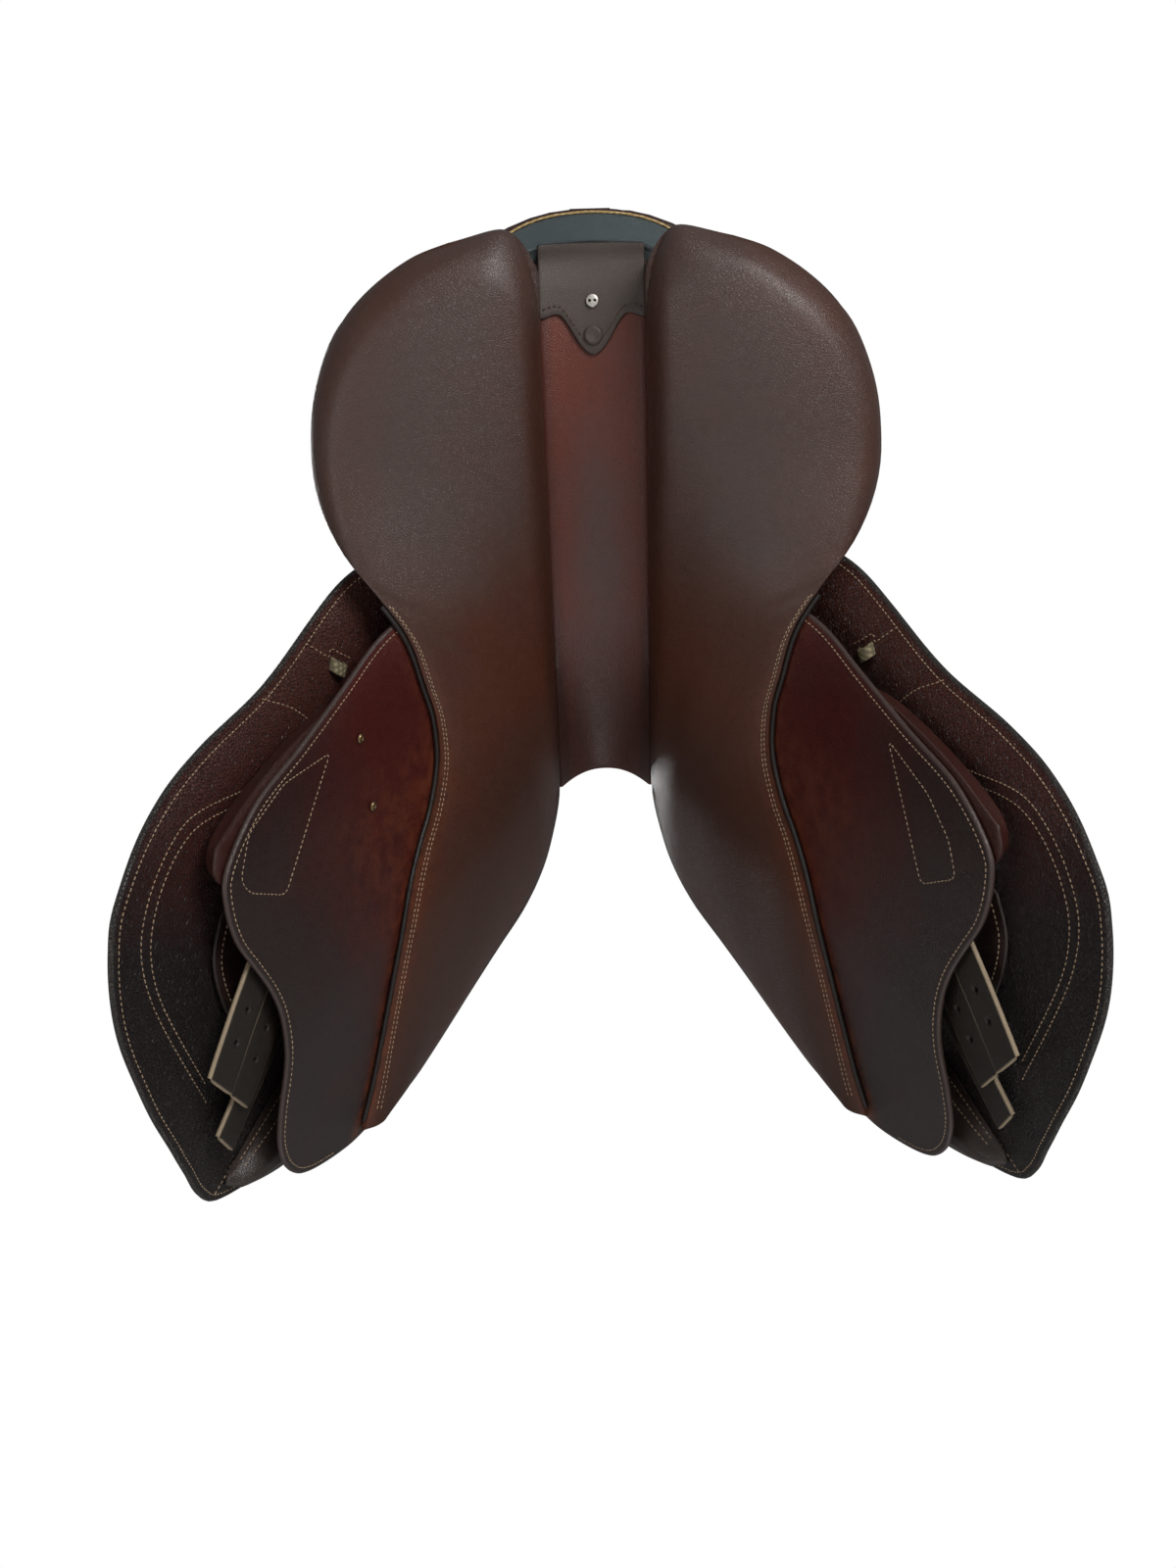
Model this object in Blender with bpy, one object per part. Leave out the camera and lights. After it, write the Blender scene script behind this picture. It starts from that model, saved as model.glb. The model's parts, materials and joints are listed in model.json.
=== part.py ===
"""Jumping saddle, modelled in metres: +X the rider's right, +Y towards the pommel, +Z up.

The saddle is built on two families of surfaces. The seat is a height field over the plan, and
its layers (leather, foam, springs, tree) are the same field drawn in by their depth. The panels,
sweat flaps, flaps and skirts lie on the surface that bears on the horse: at each y it starts at
the gullet's edge, bends over on an arc and runs on straight, and each layer lies at its own
height above it. Points on that surface are (y, s), with s measured down from the gullet's edge.
"""
import math

import bmesh
import bpy
from mathutils import Matrix, Vector

# Clearances
GAP = 0.0003
STRAP_GAP = 0.0008

# Seat
SEAT_REAR = -0.228
SEAT_FRONT = 0.205
CANTLE_Y = -0.118
CANTLE_HALF = 0.134
SEAT_LEATHER = 0.003
SEAT_FOAM = 0.014
SPRING_STEEL = 0.0015
SEAT_HALF = [(CANTLE_Y, CANTLE_HALF), (-0.080, CANTLE_HALF - 0.007), (-0.045, CANTLE_HALF - 0.023),
             (-0.010, 0.096), (0.030, 0.092), (0.130, 0.091), (0.165, 0.086), (0.190, 0.075), (SEAT_FRONT, 0.064)]
SEAT_CENTRE = [(SEAT_REAR, 0.142), (-0.205, 0.123), (-0.150, 0.098), (-0.090, 0.083), (-0.030, 0.079),
               (0.030, 0.084), (0.085, 0.097), (0.135, 0.113), (0.175, 0.123), (SEAT_FRONT, 0.122)]
SEAT_EDGE = [(SEAT_REAR, 0.142), (-0.205, 0.127), (-0.165, 0.100), (CANTLE_Y, 0.080), (-0.080, 0.065),
             (-0.045, 0.053), (-0.010, 0.045), (0.070, 0.0435), (0.150, 0.048), (SEAT_FRONT, 0.056)]
SEAT_FULLNESS = [(SEAT_REAR, 2.6), (-0.100, 2.6), (-0.020, 1.9), (0.070, 1.5), (0.150, 1.8), (SEAT_FRONT, 2.1)]
RIM_DROP = [(SEAT_REAR, 1.0), (-0.100, 1.0), (-0.030, 0.0)]

# Gullet and tree
GULLET_HALF = 0.036
LINING = 0.0025
LINING_REAR = -0.2095
ARCH_TOP = [(LINING_REAR, 0.0985), (-0.190, 0.087), (-0.150, 0.070), (-0.090, 0.054), (-0.030, 0.050),
            (0.030, 0.053), (0.085, 0.061), (0.135, 0.071), (0.175, 0.079), (SEAT_FRONT, 0.082)]
ARCH_DROP = [(LINING_REAR, 0.003), (0.060, 0.004), (0.140, 0.014), (SEAT_FRONT, 0.026)]
ARCH_FULLNESS = 2.2
DECK_SIDE = [(SEAT_REAR, 0.100), (-0.205, 0.091), (-0.165, 0.067), (CANTLE_Y, 0.051), (-0.060, 0.042),
             (-0.010, 0.036), (0.150, 0.039), (SEAT_FRONT, 0.046)]
HEAD_PLATE_REAR = 0.128
SPRING_INNER = GULLET_HALF + 0.0015
SPRING_WIDTH = 0.0115
TREE_EDGE = 0.0008
TREE_SHY = 0.002
FOAM_UNDER = SEAT_LEATHER + SEAT_FOAM
SPRING_GAP = 0.0008
STATIONS = [-0.203, -0.194, -0.180, -0.160, -0.138, CANTLE_Y, -0.090, -0.060, -0.030, 0.0, 0.030, 0.060, 0.095,
            HEAD_PLATE_REAR, 0.155, 0.180, SEAT_FRONT]

# Surface that bears on the horse
BEND_LENGTH = 0.170
LEAN_LENGTH = 0.050
BEARING_HEIGHT = [(-0.250, 0.050), (-0.200, 0.032), (-0.150, 0.020), (-0.100, 0.013), (-0.050, 0.010),
                  (0.000, 0.012), (0.050, 0.018), (0.100, 0.027), (0.150, 0.038), (0.200, 0.050),
                  (0.320, 0.062)]
SLOPE_AT_GULLET = [(-0.250, 10.0), (-0.120, 12.0), (-0.040, 18.0), (0.020, 24.0), (0.080, 33.0),
                   (0.140, 45.0), (0.190, 53.0), (0.320, 56.0)]
SLOPE_BELOW = [(-0.250, 4.0), (-0.120, 8.0), (-0.060, 30.0), (-0.010, 58.0), (0.030, 65.0), (0.320, 65.0)]

# Panels
PANEL_INNER = [(-0.238, 0.003), (-0.205, 0.0), (-0.150, 0.0), (-0.095, 0.0), (-0.045, 0.0), (0.0, 0.0),
               (0.045, 0.0), (0.090, 0.0), (0.135, 0.0), (0.175, 0.0), (0.210, 0.003), (0.240, 0.015),
               (0.266, 0.033), (0.288, 0.065), (0.299, 0.105), (0.309, 0.155), (0.317, 0.210),
               (0.320, 0.250), (0.314, 0.283)]
PANEL_OUTER = [(-0.246, 0.046), (-0.232, 0.084), (-0.198, 0.124), (-0.150, 0.149), (-0.105, 0.155),
               (-0.062, 0.146), (-0.030, 0.131), (0.0, 0.120), (0.035, 0.116), (0.065, 0.114),
               (0.097, 0.123), (0.123, 0.146), (0.141, 0.174), (0.160, 0.200), (0.183, 0.224),
               (0.212, 0.247), (0.246, 0.270), (0.280, 0.292), (0.306, 0.313)]
PANEL_CROWN = [(0.0, 0.010), (0.2, 0.015), (0.38, 0.011), (0.55, 0.010), (1.0, 0.006)]
PANEL_DEPTH = [(-0.250, 0.022), (-0.215, 0.056), (-0.100, 0.058), (-0.080, 0.042), (-0.062, 0.016),
               (-0.047, 0.0)]
PANEL_TOP_FADE = 0.046
PANEL_SHY = 0.0015
PANEL_TOP_REAR = -0.200
PANEL_REAR_TUCK = 0.35
PANEL_SEAM = 0.003
PANEL_ROUND = 0.016
PIPING_RADIUS = 0.0014

# Leather thicknesses and layers above the bearing surface
SWEAT_FLAP = 0.004
FLAP = 0.0045
FLAP_PLAY = 0.0038
SKIRT = 0.0035
BILLET = 0.0035
BILLET_LAYER_GAP = 0.0016
GUARD = 0.0025
GUARD_RISE = 0.0012
WEB = 0.0022
THIGH_BLOCK = 0.018
KNEE_BLOCK = 0.017
SWEAT_IN = 0.0008
SWEAT_OUT = SWEAT_IN + SWEAT_FLAP
WEB_IN = SWEAT_OUT + STRAP_GAP
BILLET_IN = WEB_IN + WEB + STRAP_GAP
BILLET_PITCH = BILLET + BILLET_LAYER_GAP
GUARD_IN = BILLET_IN + 2 * BILLET_PITCH + BILLET + 3 * GAP
FLAP_IN = GUARD_IN + GUARD + FLAP_PLAY
FLAP_OUT = FLAP_IN + FLAP

# Stirrup bar
BAR_Y = 0.095
BAR_S = 0.050
BAR_BASE = 0.0235
BAR_LENGTH = 0.100
BAR_PLATE = 0.005
BAR_PLATE_UP = 0.033
BAR_PLATE_DOWN = 0.008
BAR_ARM_WIDTH = 0.012
BAR_ARM = 0.006
BAR_SLOT = 0.0075
BAR_NECK = 0.012
BAR_STEP = 0.0004
BAR_OPEN = 0.0105
CATCH_FIT = 0.0001
CATCH_LENGTH = 0.012
CATCH_HALF = 0.0022
CATCH_PIN_RADIUS = 0.0016
SKIRT_OVER_BAR = BAR_BASE + BAR_PLATE + BAR_SLOT + BAR_ARM + 0.0025

# Lift line of the flaps and skirts, parallel to +Y
LIFT_X = 0.0985
LIFT_Z = 0.0425

# Outlines on the bearing surface: lists of (y, s)
SWEAT_TOP = [(-0.012, 0.058), (0.080, 0.058), (0.180, 0.058), (0.278, 0.058)]
SWEAT_REAR = [(-0.012, 0.058), (-0.010, 0.122), (0.003, 0.178), (0.014, 0.242), (0.022, 0.300), (0.040, 0.340)]
SWEAT_BOTTOM = [(0.040, 0.340), (0.058, 0.352), (0.082, 0.356), (0.105, 0.352), (0.127, 0.349),
                (0.148, 0.351), (0.170, 0.360), (0.190, 0.372), (0.210, 0.384), (0.235, 0.393),
                (0.262, 0.390), (0.285, 0.372)]
SWEAT_FRONT = [(0.278, 0.058), (0.296, 0.095), (0.304, 0.130), (0.313, 0.170), (0.319, 0.215),
               (0.321, 0.248), (0.315, 0.283), (0.308, 0.325), (0.285, 0.372)]
FLAP_TOP = [(-0.045, 0.040), (0.040, 0.040), (0.120, 0.040), (0.178, 0.046)]
FLAP_REAR = [(-0.045, 0.040), (-0.041, 0.090), (-0.034, 0.130), (-0.018, 0.172), (-0.006, 0.225),
             (-0.001, 0.290), (0.005, 0.335), (0.016, 0.374)]
FLAP_BOTTOM = [(0.016, 0.374), (0.033, 0.404), (0.052, 0.420), (0.075, 0.433), (0.100, 0.442),
               (0.130, 0.447), (0.160, 0.450), (0.190, 0.450), (0.215, 0.447), (0.240, 0.443),
               (0.262, 0.430)]
FLAP_FRONT = [(0.178, 0.046), (0.240, 0.062), (0.285, 0.092), (0.312, 0.130), (0.326, 0.180),
              (0.327, 0.230), (0.318, 0.290), (0.303, 0.340), (0.286, 0.385), (0.262, 0.430)]
SKIRT_TOP = [(-0.022, 0.041), (0.045, 0.041), (0.120, 0.041), (0.178, 0.047)]
SKIRT_REAR = [(-0.022, 0.041), (-0.035, 0.082), (-0.024, 0.120), (0.004, 0.150)]
SKIRT_BOTTOM = [(0.004, 0.150), (0.050, 0.166), (0.100, 0.168), (0.150, 0.154)]
SKIRT_FRONT = [(0.178, 0.047), (0.190, 0.080), (0.180, 0.124), (0.150, 0.154)]
THIGH_TOP = [(0.012, 0.188), (0.024, 0.182), (0.036, 0.188)]
THIGH_REAR = [(0.012, 0.188), (0.013, 0.240), (0.018, 0.290), (0.028, 0.338)]
THIGH_BOTTOM = [(0.028, 0.338), (0.042, 0.347), (0.056, 0.338)]
THIGH_FRONT = [(0.036, 0.188), (0.050, 0.240), (0.060, 0.290), (0.056, 0.338)]
KNEE_TOP = [(0.262, 0.150), (0.284, 0.142), (0.308, 0.152)]
KNEE_REAR = [(0.262, 0.150), (0.248, 0.220), (0.229, 0.290), (0.226, 0.340), (0.238, 0.385), (0.249, 0.418)]
KNEE_BOTTOM = [(0.249, 0.418), (0.255, 0.422), (0.262, 0.418)]
KNEE_FRONT = [(0.308, 0.152), (0.318, 0.200), (0.316, 0.260), (0.300, 0.325), (0.281, 0.375), (0.262, 0.418)]
GUARD_TOP = [(0.074, 0.225), (0.135, 0.215), (0.192, 0.225)]
GUARD_REAR = [(0.074, 0.225), (0.072, 0.290), (0.082, 0.340)]
GUARD_BOTTOM = [(0.082, 0.340), (0.104, 0.362), (0.140, 0.370), (0.172, 0.362), (0.196, 0.335)]
GUARD_FRONT = [(0.192, 0.225), (0.202, 0.280), (0.196, 0.335)]

# Web, by strap level: (y, level) across it
WEB_STEPS = [(0.036, 0), (0.0645, 0), (0.0665, 1), (0.0946, 1), (0.0957, 2), (0.124, 2)]
WEB_STEP_S = 0.150
WEB_TOP_S = 0.027
WEB_BOTTOM_S = 0.172
WEB_PACK_S = 0.105
WEB_PACK_RISE = 0.022
WEB_ROWS = 12
WEB_SHY = 0.0015

# Billets: where each swings, and how it hangs
BILLET_WIDTH = 0.025
BILLET_LENGTH = 0.287
BILLET_TOPS = [("rear", 0.050, 0.150), ("middle", 0.078, 0.140), ("front", 0.104, 0.158)]
BILLET_LEAN_TOP = math.radians(12.0)
BILLET_LEAN_TIP = math.radians(32.0)
BILLET_TIP_CUT = 0.006

# Small fittings
WELT_RADIUS = 0.0016
TAB = 0.0022
TAB_HALF = 0.0345
SCREW_Y = -0.183
SCREW_HEAD_RADIUS = 0.0046
SCREW_SHANK_RADIUS = 0.002
SCREW_DEPTH = 0.006
SCREW_HEAD = 0.0018
BUTTON_Y = -0.158
BUTTON_RADIUS = 0.0065
BUTTON = 0.0016
RIVETS = [("upper", 0.037, 0.191), ("lower", 0.085, 0.201)]
RIVET_RADIUS = 0.0034
RIVET_HEAD = 0.0012
NAIL_RADIUS = 0.0055
NAIL_HEAD = 0.0025
NAIL_Y = 0.168
CANTLE_FACING = 0.0022
CANTLE_TUCK = 0.009
CANTLE_FACING_FRONT = -0.052
CANTLE_PIPING_RADIUS = 0.0011
POMMEL_FACING = 0.003
DEE_X = 0.054
DEE_Z = 0.084
DEE_HALF = 0.014
DEE_DROP = 0.026
DEE_WIRE = 0.002
STAPLE_HALF = 0.0045
STAPLE_WIRE = 0.0014
KEEPER_S = 0.166
KEEPER_Y = 0.006
KEEPER_LENGTH = 0.012
KEEPER_WIDTH = 0.007
KEEPER_DEPTH = 0.006
KEEPER_STRAP = 0.0015

# Columns of the sweat flaps and flaps, closer together where the bearing surface twists
TWISTED = [0.0, 0.035, 0.07, 0.11, 0.16, 0.22, 0.29, 0.38, 0.49, 0.61, 0.74, 0.87, 1.0]


def through(points, x):
    """Smooth curve through (x, value) points, level beyond its ends."""
    if x <= points[0][0]:
        return points[0][1]
    if x >= points[-1][0]:
        return points[-1][1]
    i = 0
    while points[i + 1][0] < x:
        i += 1
    width = points[i + 1][0] - points[i][0]
    t = (x - points[i][0]) / width

    def slope(k):
        low = max(k - 1, 0)
        high = min(k + 1, len(points) - 1)
        rise = (points[high][1] - points[low][1]) / (points[high][0] - points[low][0])
        return rise * (1.0 if high - low == 2 else 0.5)

    start = points[i][1] * (2 * t ** 3 - 3 * t ** 2 + 1) + slope(i) * width * (t ** 3 - 2 * t ** 2 + t)
    end = points[i + 1][1] * (3 * t ** 2 - 2 * t ** 3) + slope(i + 1) * width * (t ** 3 - t ** 2)
    return start + end


def ease(t):
    """From 0 to 1 with level ends."""
    t = min(1.0, max(0.0, t))
    return t * t * (3.0 - 2.0 * t)


def along(points, t):
    """Point at t from 0 to 1 on a smooth curve through points, by their spacing."""
    spans = [math.dist(points[i], points[i + 1]) for i in range(len(points) - 1)]
    target = t * sum(spans)
    i = 0
    while i < len(spans) - 1 and target > spans[i]:
        target -= spans[i]
        i += 1
    u = min(1.0, target / spans[i])
    before = points[i - 1] if i > 0 else [2 * a - b for a, b in zip(points[0], points[1])]
    after = points[i + 2] if i + 2 < len(points) else [2 * a - b for a, b in zip(points[-1], points[-2])]

    def blend(a, b, c, d):
        return 0.5 * (2 * b + (c - a) * u + (2 * a - 5 * b + 4 * c - d) * u * u + (3 * b - a - 3 * c + d) * u ** 3)

    return tuple(blend(a, b, c, d) for a, b, c, d in zip(before, points[i], points[i + 1], after))


def patch(top, bottom, rear, front, across, down):
    """Grid of (y, s) that fills four edges. Rows run from the top edge to the bottom edge.

    Across is a number of equal steps, or a list of stations from 0 to 1.
    """
    stations = [i / across for i in range(across + 1)] if isinstance(across, int) else across
    rows = []
    for j in range(down + 1):
        v = j / down
        row = []
        for u in stations:
            a = along(top, u)
            b = along(bottom, u)
            c = along(rear, v)
            d = along(front, v)
            point = []
            for k in range(2):
                edges = (1 - v) * a[k] + v * b[k] + (1 - u) * c[k] + u * d[k]
                corners = (1 - v) * ((1 - u) * top[0][k] + u * top[-1][k])
                corners += v * ((1 - u) * bottom[0][k] + u * bottom[-1][k])
                point.append(edges - corners)
            row.append(tuple(point))
        rows.append(row)
    return rows


def slope_at(y, s):
    a0 = math.radians(through(SLOPE_AT_GULLET, y))
    a1 = math.radians(through(SLOPE_BELOW, y))
    return a0 + (a1 - a0) * min(s, BEND_LENGTH) / BEND_LENGTH


def bearing(y, s, height=0.0):
    """Point above the surface that bears on the horse, on the right side."""
    a0 = slope_at(y, 0.0)
    bend = (slope_at(y, BEND_LENGTH) - a0) / BEND_LENGTH
    slope = slope_at(y, s)
    straight = max(0.0, s - BEND_LENGTH)
    x = GULLET_HALF + (math.sin(slope) - math.sin(a0)) / bend + straight * math.cos(slope)
    z = through(BEARING_HEIGHT, y) + (math.cos(slope) - math.cos(a0)) / bend - straight * math.sin(slope)
    lean = slope * min(1.0, max(0.0, s / LEAN_LENGTH))
    return Vector((x + height * math.sin(lean), y, z + height * math.cos(lean)))


def seat_half(y, inset=0.0):
    """Half the seat's width at y, drawn in by inset."""
    if y < CANTLE_Y:
        reach = (CANTLE_Y - y) / (CANTLE_Y - SEAT_REAR - inset)
        return (CANTLE_HALF - inset) * math.sqrt(max(0.0, 1.0 - reach * reach))
    return through(SEAT_HALF, y) - inset


def seat_edge(y, inset=0.0):
    return through(SEAT_EDGE, y) - inset * through(RIM_DROP, y)


def seat_height(x, y, inset=0.0):
    """Height of the seat's layer that lies inset below its surface."""
    edge = seat_edge(y, inset)
    rise = through(SEAT_CENTRE, y) - inset - edge
    ratio = min(1.0, abs(x) / max(seat_half(y, inset), 1e-6))
    if rise < 0.0:
        return edge + rise * (1.0 - ratio * ratio)
    fullness = through(SEAT_FULLNESS, y)
    return edge + rise * (1.0 - ratio ** fullness) ** (1.0 / fullness)


def lining_height(x, y):
    """Underside of the gullet lining."""
    return through(ARCH_TOP, y) - through(ARCH_DROP, y) * min(1.0, abs(x) / GULLET_HALF) ** ARCH_FULLNESS


def tree_half(y):
    return seat_half(y, FOAM_UNDER) - TREE_SHY


def deck(x, y):
    """Surface between the tree above and the lining and panels below."""
    middle = lining_height(x, y) + LINING + GAP
    across = tree_half(max(y, STATIONS[0])) - GULLET_HALF
    if abs(x) <= GULLET_HALF:
        return middle
    return middle + (through(DECK_SIDE, y) - middle) * min(1.0, (abs(x) - GULLET_HALF) / across)


def material(name, colour, roughness, metallic=0.0):
    made = bpy.data.materials.new(name)
    made.use_nodes = True
    shader = made.node_tree.nodes["Principled BSDF"]
    shader.inputs["Base Color"].default_value = (*colour, 1.0)
    shader.inputs["Roughness"].default_value = roughness
    shader.inputs["Metallic"].default_value = metallic
    made.diffuse_color = (*colour, 1.0)
    return made


def finished(name, mesh, finish):
    """Object for a mesh, its faces turned outwards and shaded smooth but for its edges."""
    shape = bmesh.new()
    shape.from_mesh(mesh)
    bmesh.ops.recalc_face_normals(shape, faces=shape.faces)
    shape.to_mesh(mesh)
    shape.free()
    mesh.materials.append(finish)
    mesh.shade_smooth()
    mesh.set_sharp_from_angle(angle=math.radians(40.0))
    made = bpy.data.objects.new(name, mesh)
    bpy.context.scene.collection.objects.link(made)
    return made


def slab(name, under, over, finish, side=1, mirrored=False):
    """Closed body between two grids of points with the same rows and columns.

    Its squares are halved alike in each layer, and alike on both sides of a mirrored piece.
    """
    rows = len(under)
    columns = len(under[0])
    points = []
    for grid in (under, over):
        for row in grid:
            points.extend((side * p[0], p[1], p[2]) for p in row)
    count = rows * columns

    def at(level, i, j):
        return level * count + i * columns + j

    faces = []
    for i in range(rows - 1):
        for j in range(columns - 1):
            for level in (0, 1):
                a, b, c, d = at(level, i, j), at(level, i + 1, j), at(level, i + 1, j + 1), at(level, i, j + 1)
                halves = [[a, b, c], [a, c, d]] if j < columns // 2 or not mirrored else [[a, b, d], [b, c, d]]
                faces.extend(half if level == 0 else half[::-1] for half in halves)
    rim = [(0, j) for j in range(columns)] + [(i, columns - 1) for i in range(1, rows)]
    rim += [(rows - 1, j) for j in range(columns - 2, -1, -1)] + [(i, 0) for i in range(rows - 2, 0, -1)]
    for k in range(len(rim)):
        a = rim[k]
        b = rim[(k + 1) % len(rim)]
        faces.append([at(0, *a), at(0, *b), at(1, *b), at(1, *a)])
    mesh = bpy.data.meshes.new(name)
    mesh.from_pydata(points, [], faces)
    return finished(name, mesh, finish)


def layer(name, grid, low, high, finish, side):
    """Slab over a (y, s) grid, between two heights, each a number or a function of (y, s)."""
    def level(height, y, s):
        return height(y, s) if callable(height) else height

    under = [[bearing(y, s, level(low, y, s)) for y, s in row] for row in grid]
    over = [[bearing(y, s, level(high, y, s)) for y, s in row] for row in grid]
    return slab(name, under, over, finish, side)


def tube(name, path, radius, sides, finish, side=1, closed=False):
    """Round cord along a path of points."""
    path = [Vector((side * p[0], p[1], p[2])) for p in path]
    count = len(path)
    points = []
    normal = None
    for i, p in enumerate(path):
        if closed:
            direction = (path[(i + 1) % count] - path[i - 1]).normalized()
        else:
            direction = (path[min(i + 1, count - 1)] - path[max(i - 1, 0)]).normalized()
        if normal is None:
            guess = Vector((0.0, 0.0, 1.0)) if abs(direction.z) < 0.9 else Vector((1.0, 0.0, 0.0))
            normal = guess
        normal = (normal - direction * normal.dot(direction)).normalized()
        second = direction.cross(normal)
        for k in range(sides):
            turn = 2 * math.pi * k / sides
            points.append(p + radius * (math.cos(turn) * normal + math.sin(turn) * second))
    faces = []
    for i in range(count if closed else count - 1):
        j = (i + 1) % count
        for k in range(sides):
            m = (k + 1) % sides
            faces.append([i * sides + k, i * sides + m, j * sides + m, j * sides + k])
    if not closed:
        faces.append(list(range(sides)))
        faces.append(list(range((count - 1) * sides, count * sides)))
    mesh = bpy.data.meshes.new(name)
    mesh.from_pydata(points, [], faces)
    return finished(name, mesh, finish)


def turned(name, profile, centre, axis, sides, finish):
    """Round piece from a profile of (radius, height) about an axis. The profile starts and ends on it."""
    axis = Vector(axis).normalized()
    first = axis.orthogonal().normalized()
    second = axis.cross(first)
    points = []
    rings = []
    for radius, height in profile:
        middle = Vector(centre) + axis * height
        if radius == 0.0:
            rings.append([len(points)])
            points.append(middle)
            continue
        rings.append(list(range(len(points), len(points) + sides)))
        for k in range(sides):
            turn = 2 * math.pi * k / sides
            points.append(middle + radius * (math.cos(turn) * first + math.sin(turn) * second))
    faces = []
    for low, high in zip(rings, rings[1:]):
        for k in range(sides):
            m = (k + 1) % sides
            if len(low) == 1:
                faces.append([low[0], high[k], high[m]])
            elif len(high) == 1:
                faces.append([low[k], high[0], low[m]])
            else:
                faces.append([low[k], high[k], high[m], low[m]])
    mesh = bpy.data.meshes.new(name)
    mesh.from_pydata(points, [], faces)
    return finished(name, mesh, finish)


def block(name, frame, low, high, finish, bevel=0.0):
    """Box between two corners given in a frame."""
    shape = bmesh.new()
    bmesh.ops.create_cube(shape, size=1.0)
    size = [b - a for a, b in zip(low, high)]
    middle = [(a + b) / 2 for a, b in zip(low, high)]
    bmesh.ops.scale(shape, vec=size, verts=shape.verts)
    bmesh.ops.translate(shape, vec=middle, verts=shape.verts)
    if bevel:
        bmesh.ops.bevel(shape, geom=shape.edges, offset=bevel, segments=1, affect="EDGES")
    bmesh.ops.transform(shape, matrix=frame, verts=shape.verts)
    mesh = bpy.data.meshes.new(name)
    shape.to_mesh(mesh)
    shape.free()
    return finished(name, mesh, finish)


def guide(made):
    """Hide a cutter, which only shapes other pieces."""
    made.hide_render = True
    made.display_type = "WIRE"
    return made


def cut(target, cutter, operation="DIFFERENCE"):
    change = target.modifiers.new(cutter.name, "BOOLEAN")
    change.operation = operation
    change.object = cutter


def pivot(name, place):
    """Empty on a joint's axis, which carries the pieces that turn there."""
    made = bpy.data.objects.new(name, None)
    made.location = place
    bpy.context.scene.collection.objects.link(made)
    return made


def carry(parent, *pieces):
    for piece in pieces:
        piece.parent = parent
        piece.matrix_parent_inverse = Matrix.Translation(-parent.location)


def seat_rows(inset):
    """Stations along one seat layer. All layers share those in front of the tree's rear end."""
    length = CANTLE_Y - SEAT_REAR - inset
    tree_end = STATIONS[0]
    rear = [CANTLE_Y - length * math.sin(math.radians(turn)) for turn in (86.0, 79.0, 71.0)]
    return [y for y in rear if y < tree_end - 0.003] + STATIONS


def seat_columns(half):
    """Positions across one row: fixed ones over the gullet, then spread out to the edge."""
    narrow = min(1.0, half / (GULLET_HALF + 0.004))
    inner = [x * narrow for x in (0.0, GULLET_HALF / 3, GULLET_HALF * 2 / 3, GULLET_HALF)]
    rest = half - inner[-1]
    right = inner + [inner[-1] + rest * part for part in (0.35, 0.62, 0.82, 0.94, 1.0)]
    return [-x for x in right[:0:-1]] + right


def seat_sheet(inset, drop=0.0):
    """Grid over one seat layer, lowered by drop."""
    rows = []
    for y in seat_rows(inset):
        columns = seat_columns(seat_half(y, inset))
        rows.append([Vector((x, y, seat_height(x, y, inset) - drop)) for x in columns])
    return rows


def foam_height(x, y):
    """Underside of the foam between its own grid lines."""
    columns = seat_columns(seat_half(y, FOAM_UNDER))
    k = max(i for i in range(len(columns) - 1) if columns[i] <= x)
    low, high = columns[k], columns[k + 1]
    share = (x - low) / (high - low)
    return (1 - share) * seat_height(low, y, FOAM_UNDER) + share * seat_height(high, y, FOAM_UNDER)


def seat_strip(name, rear, front, columns, finish, mirrored=True):
    """Flat piece between the foam and the tree, over a rectangle of the plan."""
    rows = [rear] + [y for y in STATIONS if rear < y < front] + [front]
    grids = [[[Vector((x, y, foam_height(x, y) - depth)) for x in columns] for y in rows]
             for depth in (SPRING_GAP + SPRING_STEEL, SPRING_GAP)]
    return slab(name, grids[0], grids[1], finish, 1, mirrored)


def make_seat(finish):
    slab("seat_leather", seat_sheet(SEAT_LEATHER), seat_sheet(0.0), finish["seat leather"], 1, True)
    slab("seat_foam", seat_sheet(FOAM_UNDER), seat_sheet(SEAT_LEATHER, GAP), finish["foam"], 1, True)
    middle = [GULLET_HALF * k / 3 for k in range(-3, 4)]
    seat_strip("seat_webbing", STATIONS[2], HEAD_PLATE_REAR - GAP, middle, finish["webbing"])
    seat_strip("head_plate", HEAD_PLATE_REAR, SEAT_FRONT, middle, finish["steel"])
    for side, tag in ((1, "r"), (-1, "l")):
        edges = sorted((side * SPRING_INNER, side * (SPRING_INNER + SPRING_WIDTH)))
        seat_strip("spring_steel_" + tag, STATIONS[3], HEAD_PLATE_REAR - GAP, edges, finish["steel"], False)


def make_tree(finish):
    """Tree: its upper face under the springs, its underside on the lining and the panels."""
    drop = SPRING_STEEL + 2 * SPRING_GAP
    rows = []
    for y in STATIONS:
        columns = seat_columns(tree_half(y))
        rows.append([Vector((x, y, seat_height(x, y, FOAM_UNDER) - drop)) for x in columns])
    under = [[Vector((p.x, p.y, min(deck(p.x, p.y) + GAP, p.z - TREE_EDGE))) for p in row] for row in rows]
    return slab("tree", under, rows, finish["tree"], 1, True)


def make_lining(finish):
    stations = [LINING_REAR] + STATIONS
    columns = [(GULLET_HALF - GAP) * k / 3 for k in range(-3, 4)]
    grids = []
    for rise in (0.0, LINING):
        grids.append([[Vector((x, y, lining_height(x, y) + rise)) for x in columns] for y in stations])
    return slab("gullet_lining", grids[0], grids[1], finish["lining"], 1, True)


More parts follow.
